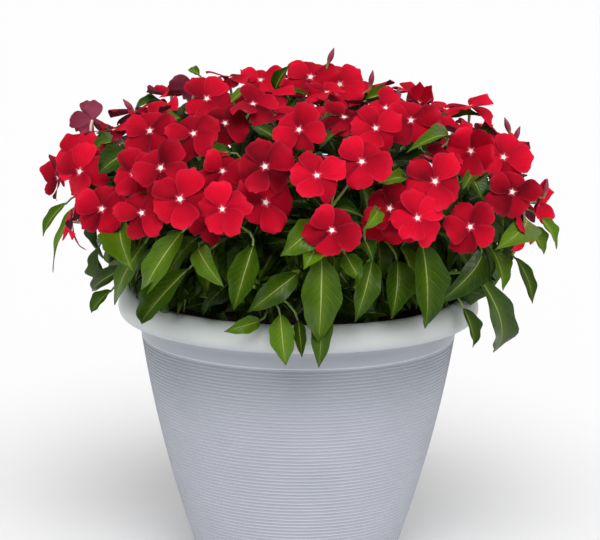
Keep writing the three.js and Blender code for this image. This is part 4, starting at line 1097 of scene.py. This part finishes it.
def line_piece(name, lines, sides, material):
    """One piece from many lines. A line is a list of (point, thickness), from its foot to its tip."""
    points, sizes, share, edges = [], [], [], []
    for line in lines:
        first = len(points)
        edges += [(first + step, first + step + 1) for step in range(len(line) - 1)]
        points += [point for point, size in line]
        sizes += [size for point, size in line]
        share += [step / (len(line) - 1) for step in range(len(line))]
    mesh = mesh_of(name, points, edges=edges)
    note(mesh, "thickness", "FLOAT", "POINT", sizes)
    note(mesh, "share", "FLOAT", "POINT", share)
    return grow_piece(name, mesh, limbs, Sides=sides, Material=material)


def softened(points, rounds=2):
    """Rounds the corners of a path of points."""
    for turn in range(rounds):
        softer = [points[0]]
        for a, b in zip(points, points[1:]):
            softer += [between(a, b, CORNER_CUT), between(a, b, 1 - CORNER_CUT)]
        points = softer + [points[-1]]
    return points


def straight(start, end, steps=6):
    return [between(start, end, step / steps) for step in range(steps + 1)]


def bowed(start, leave, end, count):
    """A smooth path from start to end that sets off towards a third point."""
    shares = [step / (count - 1) for step in range(count)]
    return [between(between(start, leave, share), between(leave, end, share), share) for share in shares]


print("line helpers ready")

# %% [markdown]
# The skin of the stems is green tissue with a thin wax, smooth and half glossy. Fine flecks of a lighter
# green run through it. Two greens mixed by noise are enough for a part that shows so little.

# %% Smooth green stem
FLECK_WIDTH = 8.3333

stem_skin, tree = new_material("smooth green stem")
flecks = add(tree, NOISE, add(tree, "ShaderNodeTexCoord").outputs["Object"], per_metre(FLECK_WIDTH), 3.0)
finish_material(
    tree, Base_Color=add(tree, RAMP, flecks, stops=((0.3, "#4a6a24"), (0.7, "#86a04a"))), Roughness=0.45,
    Normal=add(tree, BUMP, 0.15, 0.0004, Height=flecks))

# %% Lay out the stems, the shoots and the leaf stalks
STEM_RADIUS, STEM_TIP_RADIUS, STEM_TAPER = 4, 1.5, 1.4
SHOOT_RADIUS, SHOOT_TAPER = 2.3, 0.13
STALK_RADIUS, STALK_TAPER, STALK_POINTS, STALK_SUNK, STALK_BOW = 1.15, 0.09, 5, 2, 0.3

stem_lines = []
for stem in stems:
    path = softened([stem.foot, stem.top, stem.fork, stem.shoots[0].end])
    stem_lines.append([
        (point, STEM_RADIUS + (STEM_TIP_RADIUS - STEM_RADIUS) * (step / (len(path) - 1)) ** STEM_TAPER)
        for step, point in enumerate(path)])
    for shoot in stem.shoots[1:]:
        path = straight(shoot.start, shoot.end)
        stem_lines.append([(point, SHOOT_RADIUS - SHOOT_TAPER * step) for step, point in enumerate(path)])
for leaf in leaves:
    leave, end = (plus(leaf.base, leaf.way, far) for far in (-STALK_BOW * leaf.hold.gap, STALK_SUNK))
    path = bowed(leaf.hold.place, leave, end, STALK_POINTS)
    stem_lines.append([(point, STALK_RADIUS - STALK_TAPER * step) for step, point in enumerate(path)])
print(len(stem_lines), "lines")

# %% [markdown]
# ## Leaves as skins
#
# A periwinkle leaf is a glossy pointed oval, folded a little along a pale midrib, arched over its length and
# faintly waved at the edge. Eight shapes of unit length, four broad and four slim and flatter, are enough
# when each copy is stretched to its own length and width. Each shape is a closed skin: an upper and an under
# side that share their rim. A single sheet would be simpler, but the two sides of a leaf differ in colour
# and gloss, and a closed skin can be a real solid.

# %% A two-sided skin
SKIN_HALF_THICKNESS = 0.006
MARKS = ("first_mark", "second_mark", "petal_tone_and_shade")


def skin_of(columns, rows, place_at, marks_at):
    """
    A closed thin sheet. place_at(u, v) gives a point for u and v from -1 to 1 and 0 to 1, marks_at(u, v) the
    values that materials read. The upper and the under side share the rim, and each face starts at the same
    corner on both sides, so that they split along the same diagonal.
    """
    skin = SimpleNamespace(points=[], marks=[], faces=[], under=[])
    index = {}
    for side in (1, -1):
        for row in range(rows + 1):
            for column in range(columns + 1):
                rim = row in (0, rows) or column in (0, columns)
                if side < 0 and rim:
                    continue
                u, v = 2 * column / columns - 1, row / rows
                index[side, column, row] = len(skin.points)
                skin.points.append(plus(place_at(u, v), UP, 0 if rim else side * SKIN_HALF_THICKNESS))
                skin.marks.append(marks_at(u, v))
    for side in (1, -1):
        for row in range(rows):
            for column in range(columns):
                corners = [(column, row), (column + 1, row), (column + 1, row + 1), (column, row + 1)]
                if side < 0:
                    corners[1:] = corners[:0:-1]
                skin.faces.append([
                    index.get((side, *corner), index.get((1, *corner))) for corner in corners])
                skin.under.append(0.0 if side > 0 else 1.0)
    return skin


def shape_of(name, skins):
    """One mesh of some skins, with their marks. Edges where the upper and under side meet are kept sharp."""
    points, marks, faces, under, sides = [], [], [], [], {}
    for skin in skins:
        faces += [[len(points) + corner for corner in face] for face in skin.faces]
        points += skin.points
        marks += skin.marks
        under += skin.under
    mesh = bpy.data.meshes.new(name)
    mesh.from_pydata(points, [], faces)
    for label, values in zip(MARKS, zip(*marks)):
        note(mesh, label, "FLOAT", "POINT", values)
    note(mesh, "underside", "FLOAT", "FACE", under)
    for face, below in zip(faces, under):
        for ends in zip(face, face[1:] + face[:1]):
            sides.setdefault(frozenset(ends), set()).add(below)
    meeting = [len(sides[frozenset(edge.vertices)]) == 2 for edge in mesh.edges]
    note(mesh, "sharp_edge", "BOOLEAN", "EDGE", meeting)
    smooth(mesh)
    return mesh


def collection_of(name, meshes):
    """A collection of shapes for a rule to pick from, in the order of their names."""
    group = bpy.data.collections.new(name)
    for number, mesh in enumerate(meshes):
        group.objects.link(bpy.data.objects.new(f"{name}_{number}", mesh))
    print(len(meshes), name, "shapes,", len(meshes[0].polygons), "faces each")
    return group


print("skin helpers ready")

# %% Shapes of the leaf
LEAF_VARIANTS = 4
FINE_GRID, SMALL_GRID = (8, 18), (4, 8)
LEAF_FOLD, FOLD_CURVE, LEAF_TWIST, LEAF_SWAY = 0.17, 1.2, 0.45, 0.05
LEAF_WAVE, EDGE_WAVE = 0.032, 0.05
SLIM_RATIO, SLIM_RELIEF = 0.3, 0.45
WIDTH_LOW, WIDTH_HIGH, WIDTH_MOST, NARROWEST = 0.75, 1.1, 0.2867, 0.03


def leaf_half_width(share):
    """Half the width of a leaf of unit width: broadest a little below the middle, with a drawn-out point."""
    return 0.5 * max(NARROWEST, share ** WIDTH_LOW * (1 - share) ** WIDTH_HIGH / WIDTH_MOST)


def leaf_shape(number, grid):
    variant, relief = number % LEAF_VARIANTS, SLIM_RELIEF if number >= LEAF_VARIANTS else 1.0

    def place_at(u, share):
        half = leaf_half_width(share) * (1 + EDGE_WAVE * math.sin(19 * share + 1.3 * variant + u))
        wave = LEAF_WAVE * math.sin(15 * share + 2.1 * variant + (1.3 if u > 0 else 0)) * u * u
        fold = LEAF_FOLD * (1 + 0.5 * math.sin(2.7 * variant)) * 2 * half * abs(u) ** FOLD_CURVE
        twist = LEAF_TWIST * math.sin(1.7 * variant + 1) * share * half * u
        sway = LEAF_SWAY * math.sin(2.3 * variant + 0.5) * share ** 3
        return (half * u + sway, share, arch_at(share) + relief * (fold + wave + twist))

    return shape_of(f"leaf_shape_{number}", [skin_of(*grid, place_at, lambda u, share: (share, u))])


leaf_shapes = collection_of("leaf", [leaf_shape(number, FINE_GRID) for number in range(2 * LEAF_VARIANTS)])
small_shapes = collection_of(
    "small_leaf", [leaf_shape(number, SMALL_GRID) for number in range(LEAF_VARIANTS)])

# %% [markdown]
# A third rule sets a shape on each point of a cloud. The point says which shape, how it is turned and
# stretched, and how light or dark it is, so the layout worked out above drives it directly.

# %% The rule for copies on points
copies, given = new_rule("shapes on points", Shapes="Collection", Material="Material")
turn, stretch = (add(copies, NAMED, label, data_type="FLOAT_VECTOR") for label in ("turn", "stretch"))
placed = add(
    copies, ON_POINTS, given["Geometry"], Pick_Instance=True, Scale=stretch,
    Instance=add(copies, "GeometryNodeCollectionInfo", given["Shapes"], True, True),
    Instance_Index=add(copies, NAMED, "shape", data_type="INT"),
    Rotation=add(copies, "FunctionNodeEulerToRotation", turn))
finish_rule(copies, placed, given["Material"])


def copies_piece(name, items, shapes, material):
    """One piece from many copies. An item has a place, three axes, a stretch in mm, a shape and a tone."""
    mesh = mesh_of(name, [item.place for item in items])
    turns = [angle for item in items for angle in Matrix(item.axes).transposed().to_euler()]
    note(mesh, "turn", "FLOAT_VECTOR", "POINT", turns)
    note(mesh, "stretch", "FLOAT_VECTOR", "POINT", [size * MM for item in items for size in item.stretch])
    note(mesh, "shape", "INT", "POINT", [item.shape for item in items])
    note(mesh, "tone", "FLOAT", "POINT", [item.tone for item in items])
    return grow_piece(name, mesh, copies, Shapes=shapes, Material=material)


print("copies helper ready")

# %% [markdown]
# The leaf's skin is painted by two marks that each shape carries: how far along the leaf a spot lies and how
# far beside the midrib. The midrib is a pale line that thins towards the tip. Side veins leave it at a
# slant, and the blade swells between them, so they are drawn faintly in colour and more strongly in the
# bump. A picture of a leaf could be laid on instead, but marks let one finish follow every shape, however it
# is stretched.

# %% Glossy periwinkle leaf
MOTTLE_WIDTH = 11.111
VEINS, VEIN_SLANT, VEIN_WANDER = 9.0, 0.26, 0.08
LIT_GREEN, VEIN_GREEN, MIDRIB_GREEN = "#78951f", "#9dbb5e", "#bccb78"

leaf_skin, tree = new_material("glossy periwinkle leaf")
along, aside, underside, tone = (
    add(tree, ATTRIBUTE, attribute_name=mark).outputs["Fac"]
    for mark in ("first_mark", "second_mark", "underside", "tone"))
beside = add(tree, MATH, aside, operation="ABSOLUTE")
mottle = add(tree, NOISE, add(tree, "ShaderNodeTexCoord").outputs["Object"], per_metre(MOTTLE_WIDTH), 4.0)
mottled = add(tree, MATH, mottle, 0.2, operation="MULTIPLY")
shade = add(tree, MATH, tone, 0.8, mottled, operation="MULTIPLY_ADD")

# Painted highlight: the blade is lighter near the midrib, more so on the brighter leaves.
near_midrib = add(tree, RANGE, beside, 0.05, 0.65, 1.0, 0.0, **SOFTLY)
toned = add(tree, MATH, tone, 0.4, operation="MULTIPLY")
lit = add(tree, MATH, near_midrib, toned, operation="MULTIPLY")
slant = add(tree, MATH, beside, VEIN_SLANT, operation="MULTIPLY")
slant = add(tree, MATH, along, slant, operation="SUBTRACT")
slant = add(tree, MATH, mottle, VEIN_WANDER, slant, operation="MULTIPLY_ADD")
veins_passed = add(tree, MATH, slant, VEINS, operation="MULTIPLY")
past_vein = add(tree, MATH, veins_passed, operation="FRACT")
off_vein = add(tree, MATH, add(tree, MATH, past_vein, 0.5, operation="SUBTRACT"), operation="ABSOLUTE")
vein = add(tree, RANGE, off_vein, 0.03, 0.12, 1.0, 0.0, **SOFTLY)
faint_vein = add(tree, MATH, vein, 0.05, operation="MULTIPLY")
midrib_width = add(tree, MATH, along, -0.04, 0.04, operation="MULTIPLY_ADD")
off_midrib = add(tree, MATH, beside, midrib_width, operation="SUBTRACT")
midrib = add(tree, RANGE, off_midrib, 0.0, 0.035, 1.0, 0.0, **SOFTLY)
midrib_tone = add(tree, MATH, tone, 0.55, 0.25, operation="MULTIPLY_ADD")
pale_midrib = add(tree, MATH, midrib, midrib_tone, operation="MULTIPLY")
upper = add(tree, RAMP, shade, stops=((0.08, "#142205"), (0.4, "#1d3503"), (0.95, "#5b7f0c")))
for share, over in ((lit, LIT_GREEN), (faint_vein, VEIN_GREEN), (pale_midrib, MIDRIB_GREEN)):
    upper = add(tree, MIX, share, upper, over, **OF_COLOURS)
under_midrib = add(tree, MATH, midrib, 0.8, operation="MULTIPLY")
under = add(tree, MIX, under_midrib, "#5f7a44", "#b0be7c", **OF_COLOURS)

sunk_vein = add(tree, MATH, vein, -0.5, operation="MULTIPLY")
relief = add(tree, MATH, midrib, 0.8, sunk_vein, operation="MULTIPLY_ADD")
relief = add(tree, MATH, mottle, 0.3, relief, operation="MULTIPLY_ADD")
finish_material(
    tree, Base_Color=add(tree, MIX, underside, upper, under, **OF_COLOURS), Specular_IOR_Level=0.16,
    Roughness=add(tree, RANGE, underside, To_Min=0.3, To_Max=0.6),
    Normal=add(tree, BUMP, 0.65, 0.0012, Height=relief))

# %% [markdown]
# The listed leaves stay where their solids are. Between them and behind the blooms the real plant is filled
# with smaller leaves in opposite pairs along every shoot, each pair turned a quarter from the last. They
# close the mound, so they are added here wherever they clear the blooms' discs.

# %% Leaves as copies
DARKEST_TONE, TONE_SPREAD = 0.37, 0.6


def leaf_item(leaf, width, shape, tone):
    return SimpleNamespace(
        place=leaf.base, axes=(cross(leaf.way, leaf.normal), leaf.way, leaf.normal),
        stretch=(width, leaf.length, leaf.length), shape=shape, tone=tone)


tone_draw = seeded_draws(17490)
leaf_items = []
for number, leaf in enumerate(leaves):
    slim = LEAF_VARIANTS if leaf.width < SLIM_RATIO * leaf.length else 0
    leaf_items.append(leaf_item(
        leaf, leaf.width, number % LEAF_VARIANTS + slim, DARKEST_TONE + TONE_SPREAD * tone_draw()))
print(len(leaf_items), "listed leaves")

# %% Small leaves along the shoots
SMALL_TO_LIGHT, SMALL_RISE, SMALL_REACH = 0.3, 0.1, 0.36
FIRST_PAIR, PAIR_SPACING, LAST_PAIR = 10, 13.0, 6
PAIR_WIDTH, PAIR_MOUND, PAIR_RIM = 0.42, 0.95, 118
PAIR_SWING, PAIR_LEAN, PAIR_LEAN_SPREAD = 0.6, 0.35, 0.4
PAIR_SIZE, PAIR_SIZE_SPREAD, PAIR_TONE_SPREAD = 27, 17, 0.45
PAIR_STALK, ABOVE_RIM, ABOVE_MIX = 3, 8, 4
TWIG_RADIUS, TWIG_TIP_RADIUS, TWIG_SUNK = 0.9, 0.7, 1.5
small_items = []


def small_leaf(base, way, size):
    normal = square_to(way, plus(mound_normal(base), UP, SMALL_TO_LIGHT))
    middle = plus(base, way, size / 2)
    return SimpleNamespace(
        base=base, tip=plus(base, way, size), way=way, normal=normal, length=size, needles=[],
        discs=[(plus(middle, normal, SMALL_RISE * size), normal, SMALL_REACH * size)])


def keep_small(leaf, stalk_from, width_share, shape, tone):
    """Keeps a small leaf and the stalk that holds it."""
    small_items.append(leaf_item(leaf, width_share * leaf.length, shape % LEAF_VARIANTS, tone))
    stem_lines.append([(stalk_from, TWIG_RADIUS), (plus(leaf.base, leaf.way, TWIG_SUNK), TWIG_TIP_RADIUS)])


def leave_pairs(shoot):
    """Opposite leaves along one shoot, where they stay in the mound and clear mix, rim and blooms."""
    onward = unit(minus(shoot.end, shoot.start))
    first_side = square_to(onward, (1.0, 0.3, 0.2))
    second_side = cross(onward, first_side)
    for pair in range(int((length(minus(shoot.end, shoot.start)) - LAST_PAIR) / PAIR_SPACING)):
        spot = plus(shoot.start, onward, FIRST_PAIR + PAIR_SPACING * pair)
        swing = math.pi / 2 * pair + PAIR_SWING * pair_draw()
        for half in (0, 1):
            out = spoke(first_side, second_side, swing + math.pi * half)
            way = unit(plus(out, onward, PAIR_LEAN + PAIR_LEAN_SPREAD * pair_draw()))
            leaf = small_leaf(plus(spot, way, PAIR_STALK), way, PAIR_SIZE + PAIR_SIZE_SPREAD * pair_draw())
            by_rim = math.hypot(leaf.tip[0], leaf.tip[1]) > PAIR_RIM
            over_rim = by_rim and leaf.tip[2] < POT_HEIGHT + ABOVE_RIM
            too_low = leaf.tip[2] < MIX_TOP + ABOVE_MIX
            if not (too_low or over_rim or outside_mound(leaf.tip, PAIR_MOUND) or crossings(leaf, blooms)):
                keep_small(leaf, spot, PAIR_WIDTH, pair + half, PAIR_TONE_SPREAD * pair_draw())


pair_draw = seeded_draws(4201)
for stem in stems:
    for shoot in stem.shoots:
        leave_pairs(shoot)
print(len(small_items), "small leaves along the shoots")

# %% [markdown]
# Seen from the front the rim and the bare mix hardly show, because leaves lie over them in several layers.
# Three more seeded rules fill these places: dark leaves that reach out over the rim behind the listed
# fringe, a curtain of leaves that hang down inside it, and young leaves round the tip of each shoot, between
# the petals.

# %% Leaves over the rim and inside it
RIM_CLEAR, RIM_INSIDE, RIM_OUTSIDE = 4.0, 120, 158
TESTED_STEPS = 10
SMALLEST_FILLER, RADIUS_SPREAD, HEIGHT_SPREAD = 38, 46, 44
OVER_RIM = SimpleNamespace(
    title="over the rim", tries=900, radius=84, height=238, swing=0.9, drop=0.1, drop_spread=0.75,
    size_spread=24, longest_stalk=45, width_share=0.46, tone=0.05, tone_spread=0.4,
    has_room=lambda tip: not outside_mound(tip, 0.94))
CURTAIN = SimpleNamespace(
    title="in the curtain", tries=1100, radius=98, height=260, swing=1.2, drop=1.0, drop_spread=1.6,
    size_spread=20, longest_stalk=50, width_share=0.42, tone=0.3, tone_spread=0.45,
    has_room=lambda tip: math.hypot(tip[0], tip[1]) < RIM_INSIDE or tip[2] > POT_HEIGHT + 22)


def clears_pot(leaf):
    """Whether a leaf stays above the mix and the rim, with room to spare."""
    for step in range(1, TESTED_STEPS + 1):
        share = step / TESTED_STEPS
        point = plus(leaf.base, leaf.way, share * leaf.length)
        point = plus(point, leaf.normal, arch_at(share, leaf.length))
        by_rim = RIM_INSIDE < math.hypot(point[0], point[1]) < RIM_OUTSIDE
        if point[2] < (POT_HEIGHT if by_rim else MIX_TOP) + RIM_CLEAR:
            return False
    return True


filler_draw = seeded_draws(9177)
for kind in (OVER_RIM, CURTAIN):
    before = len(small_items)
    for number in range(kind.tries):
        compass = 2 * math.pi * filler_draw()
        radius = kind.radius + RADIUS_SPREAD * filler_draw()
        height = kind.height + HEIGHT_SPREAD * filler_draw()
        swing, drop = kind.swing * (filler_draw() - 0.5), kind.drop + kind.drop_spread * filler_draw()
        base, way = polar(radius, compass, height), unit(polar(1, compass + swing, -drop))
        leaf = small_leaf(base, way, SMALLEST_FILLER + kind.size_spread * filler_draw())
        hold = nearest_hold(base)
        if (kind.has_room(leaf.tip) and hold.gap < kind.longest_stalk and clears_pot(leaf)
                and not crossings(leaf, blooms + leaves)):
            tone = kind.tone + kind.tone_spread * filler_draw()
            keep_small(leaf, hold.place, kind.width_share, number, tone)
    print(len(small_items) - before, "leaves", kind.title)

# %% Leaves round the bunches
YOUNG_LEAVES, YOUNG_MOUND, YOUNG_WIDTH, YOUNG_STALK = 9, 0.99, 0.4, 4
YOUNG_LEAN, YOUNG_LEAN_SPREAD = 0.5, 0.9
YOUNG_SIZE, YOUNG_SIZE_SPREAD = 24, 18
YOUNG_TONE, YOUNG_TONE_SPREAD = 0.25, 0.7

before = len(small_items)
for bunch in bunches:
    outward = mound_normal(bunch.tip)
    first_side = square_to(outward, (0.3, 1.0, 0.2))
    for number in range(YOUNG_LEAVES):
        out = spoke(first_side, cross(outward, first_side), 2 * math.pi * filler_draw())
        way = unit(plus(outward, out, YOUNG_LEAN + YOUNG_LEAN_SPREAD * filler_draw()))
        size = YOUNG_SIZE + YOUNG_SIZE_SPREAD * filler_draw()
        leaf = small_leaf(plus(bunch.tip, way, YOUNG_STALK), way, size)
        out_of_bounds = outside_mound(leaf.tip, YOUNG_MOUND) or not clears_pot(leaf)
        if not out_of_bounds and not crossings(leaf, blooms + leaves):
            tone = YOUNG_TONE + YOUNG_TONE_SPREAD * filler_draw()
            keep_small(leaf, bunch.tip, YOUNG_WIDTH, number, tone)
print(len(small_items) - before, "leaves round the bunches")

# %% Grow the stems and the leaves
dress(line_piece("stems_and_stalks", stem_lines, 8, stem_skin), stem_skin, STEM_NODES)
dress(copies_piece("hanging_leaves", leaf_items, leaf_shapes, leaf_skin), leaf_skin, STEM_NODES)
dress(copies_piece("shoot_leaves", small_items, small_shapes, leaf_skin), leaf_skin, STEM_NODES)

# %% [markdown]
# ## Corollas
#
# Each bloom has five broad petals laid in a pinwheel: every petal is lopsided, its leading edge a little
# lower than the trailing edge of the next, and no two of a bloom lean or bend quite alike. Each petal also
# has a tone of its own, which partly stands in for painted shade. Eight shapes are made once at unit reach,
# six nearly flat ones, a cupped one and a half-open one, and copied to every bloom by the rule above.
# Modelling each bloom alone would give no better a mound for far more work.

# %% Shapes of the corolla
PETALS, PETAL_GRID = 5, (10, 9)
PETAL_BROADEST, PETAL_ROOT, PETAL_HALF = 0.72, 0.02, 0.43
PETAL_START, PETAL_CROWDING = 0.03, 1.15
CUPPED_BEND, HALF_OPEN_BEND, BEND_SWING, BEND_MIDDLE = 0.42, 0.95, 0.38, 0.1
HALF_OPEN_BREADTH = 0.85


def petal_bend(form, petal):
    """How steeply a petal rises from the bloom's face, in radians."""
    if form >= CUPPED:
        return HALF_OPEN_BEND if form == HALF_OPEN else CUPPED_BEND
    return BEND_SWING * math.sin(form * 2.3 + petal * 2.5) + BEND_MIDDLE


def petal_half_width(share):
    """Half the width of a petal of unit reach: widest past the middle, with a rounded, blunt end."""
    narrowing = 1 - 0.52 * max(0.0, (share - PETAL_BROADEST) / (1 - PETAL_BROADEST)) ** 2.8
    widening = math.sin(min(1.0, share / PETAL_BROADEST) * math.pi / 2) ** 1.05
    return (PETAL_ROOT + PETAL_HALF * widening) * narrowing


def petal_share(v):
    return PETAL_START + (1 - PETAL_START) * v ** PETAL_CROWDING


def petal_skin_of(form, petal):
    bend, deep = petal_bend(form, petal), form >= CUPPED
    breadth = HALF_OPEN_BREADTH if form == HALF_OPEN else 1 + 0.13 * math.sin(3.1 * form + 1.7 * petal)
    middle = 2 * math.pi * petal / PETALS + 0.08 * math.sin(1.3 * form + 2.2 * petal)
    size = 0.97 + 0.08 * math.sin(2.3 * form + 2.9 * petal)
    # Each petal's own tone, which partly stands in for painted shade between the petals.
    tone_and_shade = 0.5 + 0.5 * math.sin(1.9 * form + 2.4 * petal)
    ahead, aside = (math.sin(middle), math.cos(middle)), (math.cos(middle), -math.sin(middle))

    def place_at(u, v):
        share = petal_share(v)
        ripple = 0.025 * math.sin(5.5 * u + 1.3 * petal + 2 * form) * share ** 4
        tip = size * (1 - 0.05 * u * u + 0.03 * u + ripple)
        lean = bend * (0.4 + 0.6 * share) - (0 if deep else 0.18 * share ** 3)
        out, rise = share * tip * math.cos(lean), share * tip * math.sin(lean)
        rise += -0.11 * u * share + 0.075 * math.sin(2.6 * u + 1.9 * petal + form) * share * share
        rise += -0.12 * u * u * share - 0.02 * max(0.0, 1 - share / 0.1) ** 2
        across = petal_half_width(share) * u * breadth
        return (ahead[0] * out + aside[0] * across, ahead[1] * out + aside[1] * across, rise)

    return skin_of(*PETAL_GRID, place_at, lambda u, v: (petal_share(v), u, tone_and_shade))


corolla_shapes = collection_of("corolla", [
    shape_of(f"corolla_shape_{form}", [petal_skin_of(form, petal) for petal in range(PETALS)])
    for form in range(HALF_OPEN + 1)])

# %% [markdown]
# The petals are velvety crimson. The white eye is a small five-pointed star, because it runs further out
# along the middle of each petal, and a pink halo softens its edge. Fine streaks run outwards, and the tone
# differs a little from bloom to bloom. Each petal also has a tone of its own, which partly stands in for
# painted shade between the petals. Towards the eye the crimson deepens, partly as its own colour and partly
# as painted shade where the petals overlap, and painted shade darkens the edge of each petal that lies
# under the next. The verge of each petal carries a trace of rosy painted highlight, where its thin edge
# catches the light, and the backs of the petals are a dusky pink. The velvet of a real petal is finer than
# the render shows, so it is drawn 0.7 mm wide. Very little gloss is left, because velvet scatters the light.

# %% Velvety crimson petal
DEEP_CRIMSON, BRIGHT_CRIMSON, STREAK_CRIMSON = "#54000c", "#e60d30", "#8c0018"
VERGE_HIGHLIGHT_ROSE, HALO_PINK, RAY_PINK, EYE_WHITE = "#e8486a", "#e85478", "#f6b2ac", "#fff0ea"
STREAKS_ACROSS, STREAKS_ALONG, STREAKS_APART = 14.0, 1.6, 40.0
FLUSH_WIDTH, VELVET_WIDTH = 18.182, 0.66667

petal_skin, tree = new_material("velvety crimson petal")
radius, aside, underside, tone, petal_tone_and_shade = (
    add(tree, ATTRIBUTE, attribute_name=mark).outputs["Fac"]
    for mark in ("first_mark", "second_mark", "underside", "tone", "petal_tone_and_shade"))
place = add(tree, "ShaderNodeTexCoord").outputs["Object"]
clouds, velvet = (
    add(tree, NOISE, place, per_metre(width), detail)
    for width, detail in ((FLUSH_WIDTH, 3.0), (VELVET_WIDTH, 1.0)))
depth = add(tree, MATH, clouds, 0.3, operation="MULTIPLY")
# The eye term deepens the crimson towards the eye, partly the petal's own colour and partly painted shade
# where the petals overlap. The aside term is painted shade along the edge that lies under the next petal.
for mark, weight in ((tone, 0.3), (petal_tone_and_shade, 0.16), (radius, 0.22), (aside, 0.08)):
    depth = add(tree, MATH, mark, weight, depth, operation="MULTIPLY_ADD")
depth = add(tree, RANGE, depth, 0.27, 0.78)

streaks = add(tree, NOISE, add(tree, "ShaderNodeCombineXYZ", *(
    add(tree, MATH, mark, scale, operation="MULTIPLY")
    for mark, scale in ((aside, STREAKS_ACROSS), (radius, STREAKS_ALONG), (tone, STREAKS_APART)))), 1.0, 2.0)
streaked = add(tree, RANGE, streaks, 0.35, 0.75, 0.0, 0.3)
beside = add(tree, MATH, aside, operation="ABSOLUTE")
to_verge = add(tree, MATH, beside, radius, operation="MAXIMUM")
pointed, rayed = (
    add(tree, MATH, radius, add(tree, MATH, beside, widens, least, operation="MULTIPLY_ADD"),
        operation="MULTIPLY")
    for widens, least in ((0.5, 0.75), (3.0, 0.4)))
inside, halo, ray, eye = (
    add(tree, RANGE, value, edge, edge + blur, 1.0, 0.0, **SOFTLY) for value, edge, blur in (
        (to_verge, 0.75, 0.25), (pointed, 0.06, 0.11), (rayed, 0.045, 0.05), (pointed, 0.045, 0.035)))
# Painted highlight: the verge of each petal is a trace rosier, where its thin edge catches the light.
verge_highlight = add(tree, MATH, inside, -0.1, 0.1, operation="MULTIPLY_ADD")
haloed = add(tree, MATH, halo, 0.4, operation="MULTIPLY")
starred = add(tree, MATH, ray, 0.75, operation="MULTIPLY")
upper = add(tree, MIX, depth, DEEP_CRIMSON, BRIGHT_CRIMSON, **OF_COLOURS)
for share, over in (
        (streaked, STREAK_CRIMSON), (verge_highlight, VERGE_HIGHLIGHT_ROSE), (haloed, HALO_PINK), (starred, RAY_PINK),
        (eye, EYE_WHITE)):
    upper = add(tree, MIX, share, upper, over, **OF_COLOURS)
back_tone = add(tree, MATH, clouds, 0.8, operation="MULTIPLY")
back = add(tree, MIX, back_tone, "#982a48", "#cc7490", **OF_COLOURS)

nap = add(tree, MATH, velvet, 0.3, operation="MULTIPLY")
nap = add(tree, MATH, streaks, 0.6, nap, operation="MULTIPLY_ADD")
finish_material(
    tree, Base_Color=add(tree, MIX, underside, upper, back, **OF_COLOURS), Roughness=0.7,
    Specular_IOR_Level=0.06, Normal=add(tree, BUMP, 0.25, 0.0006, Height=nap))

# %% Set the corollas
bloom_draw = seeded_draws(77)
corolla_items = []
for bloom in blooms:
    spun_up = spoke(bloom.upright, cross(bloom.upright, bloom.facing), bloom.spin)
    corolla_items.append(SimpleNamespace(
        place=bloom.centre, axes=(cross(spun_up, bloom.facing), spun_up, bloom.facing),
        stretch=(bloom.width / 2,) * 3, shape=bloom.form, tone=bloom_draw()))
dress(copies_piece("corollas", corolla_items, corolla_shapes, petal_skin), petal_skin, BLOOM_NODES)

# %% [markdown]
# ## Flower tubes and buds
#
# Behind each bloom a narrow tube runs back to the tip of the shoot. It is pale pink by the petals and green
# at its foot, where the real one sits in a small calyx. Buds are furled spindles of a dusky maroon on green
# stalks. Both are limbs along lines again, coloured by how far along the line a spot lies.

# %% Skins of the tube and the bud
TUBE_STOPS = ((0.1, "#6f8c3c"), (0.45, "#b98a7c"), (0.95, "#e9c9b4"), (0.99, "#fff6dc"))
BUD_STOPS = ((0.25, "#7c8f4a"), (0.55, "#8e2447"))

limb_skins = []
for finish, stops, roughness in (
        ("pale corolla tube", TUBE_STOPS, 0.55), ("furled maroon bud", BUD_STOPS, 0.5)):
    material, tree = new_material(finish)
    up_limb = add(tree, ATTRIBUTE, attribute_name="share").outputs["Fac"]
    finish_material(tree, Base_Color=add(tree, RAMP, up_limb, stops=stops), Roughness=roughness)
    limb_skins.append(material)

# %% Lay out the tubes and the buds
TUBE_SIZES = [1.5, 1.2, 1.0, 0.95, 0.95, 1.0, 1.15, 1.35, 1.4]
BUD_SIZES = [0.8, 0.8, 0.9, 1.3, 2.1, 2.5, 2.2, 1.3, 0.3]
THROAT_DEPTH, TUBE_STRAIGHT = 0.006, 0.5

tube_lines, bud_lines = [], []
for bunch in bunches:
    for bloom in bunch.members:
        throat = plus(bloom.centre, bloom.facing, -THROAT_DEPTH * bloom.width)
        leave = plus(throat, bloom.facing, -TUBE_STRAIGHT * length(minus(throat, bunch.tip)))
        tube_lines.append(list(zip(bowed(bunch.tip, leave, throat, len(TUBE_SIZES)), TUBE_SIZES)))
    for bud in bunch.buds:
        path = [bunch.tip, between(bunch.tip, bud.base, 0.5), *straight(bud.base, bud.tip)]
        bud_lines.append(list(zip(path, BUD_SIZES)))
for name, lines, sides, limb_skin in (
        ("flower_tubes", tube_lines, 8, limb_skins[0]), ("flower_buds", bud_lines, 10, limb_skins[1])):
    dress(line_piece(name, lines, sides, limb_skin), limb_skin, BLOOM_NODES)

# %% [markdown]
# ## Clearing away the patterns
#
# The dressed plant has to stay within the box of its solids. The shapes that served only as patterns are
# cleared away.

# %% Clear the patterns
for pattern in (leaf_shapes, small_shapes, corolla_shapes):
    for shape in list(pattern.objects):
        bpy.data.objects.remove(shape)
    bpy.data.collections.remove(pattern)
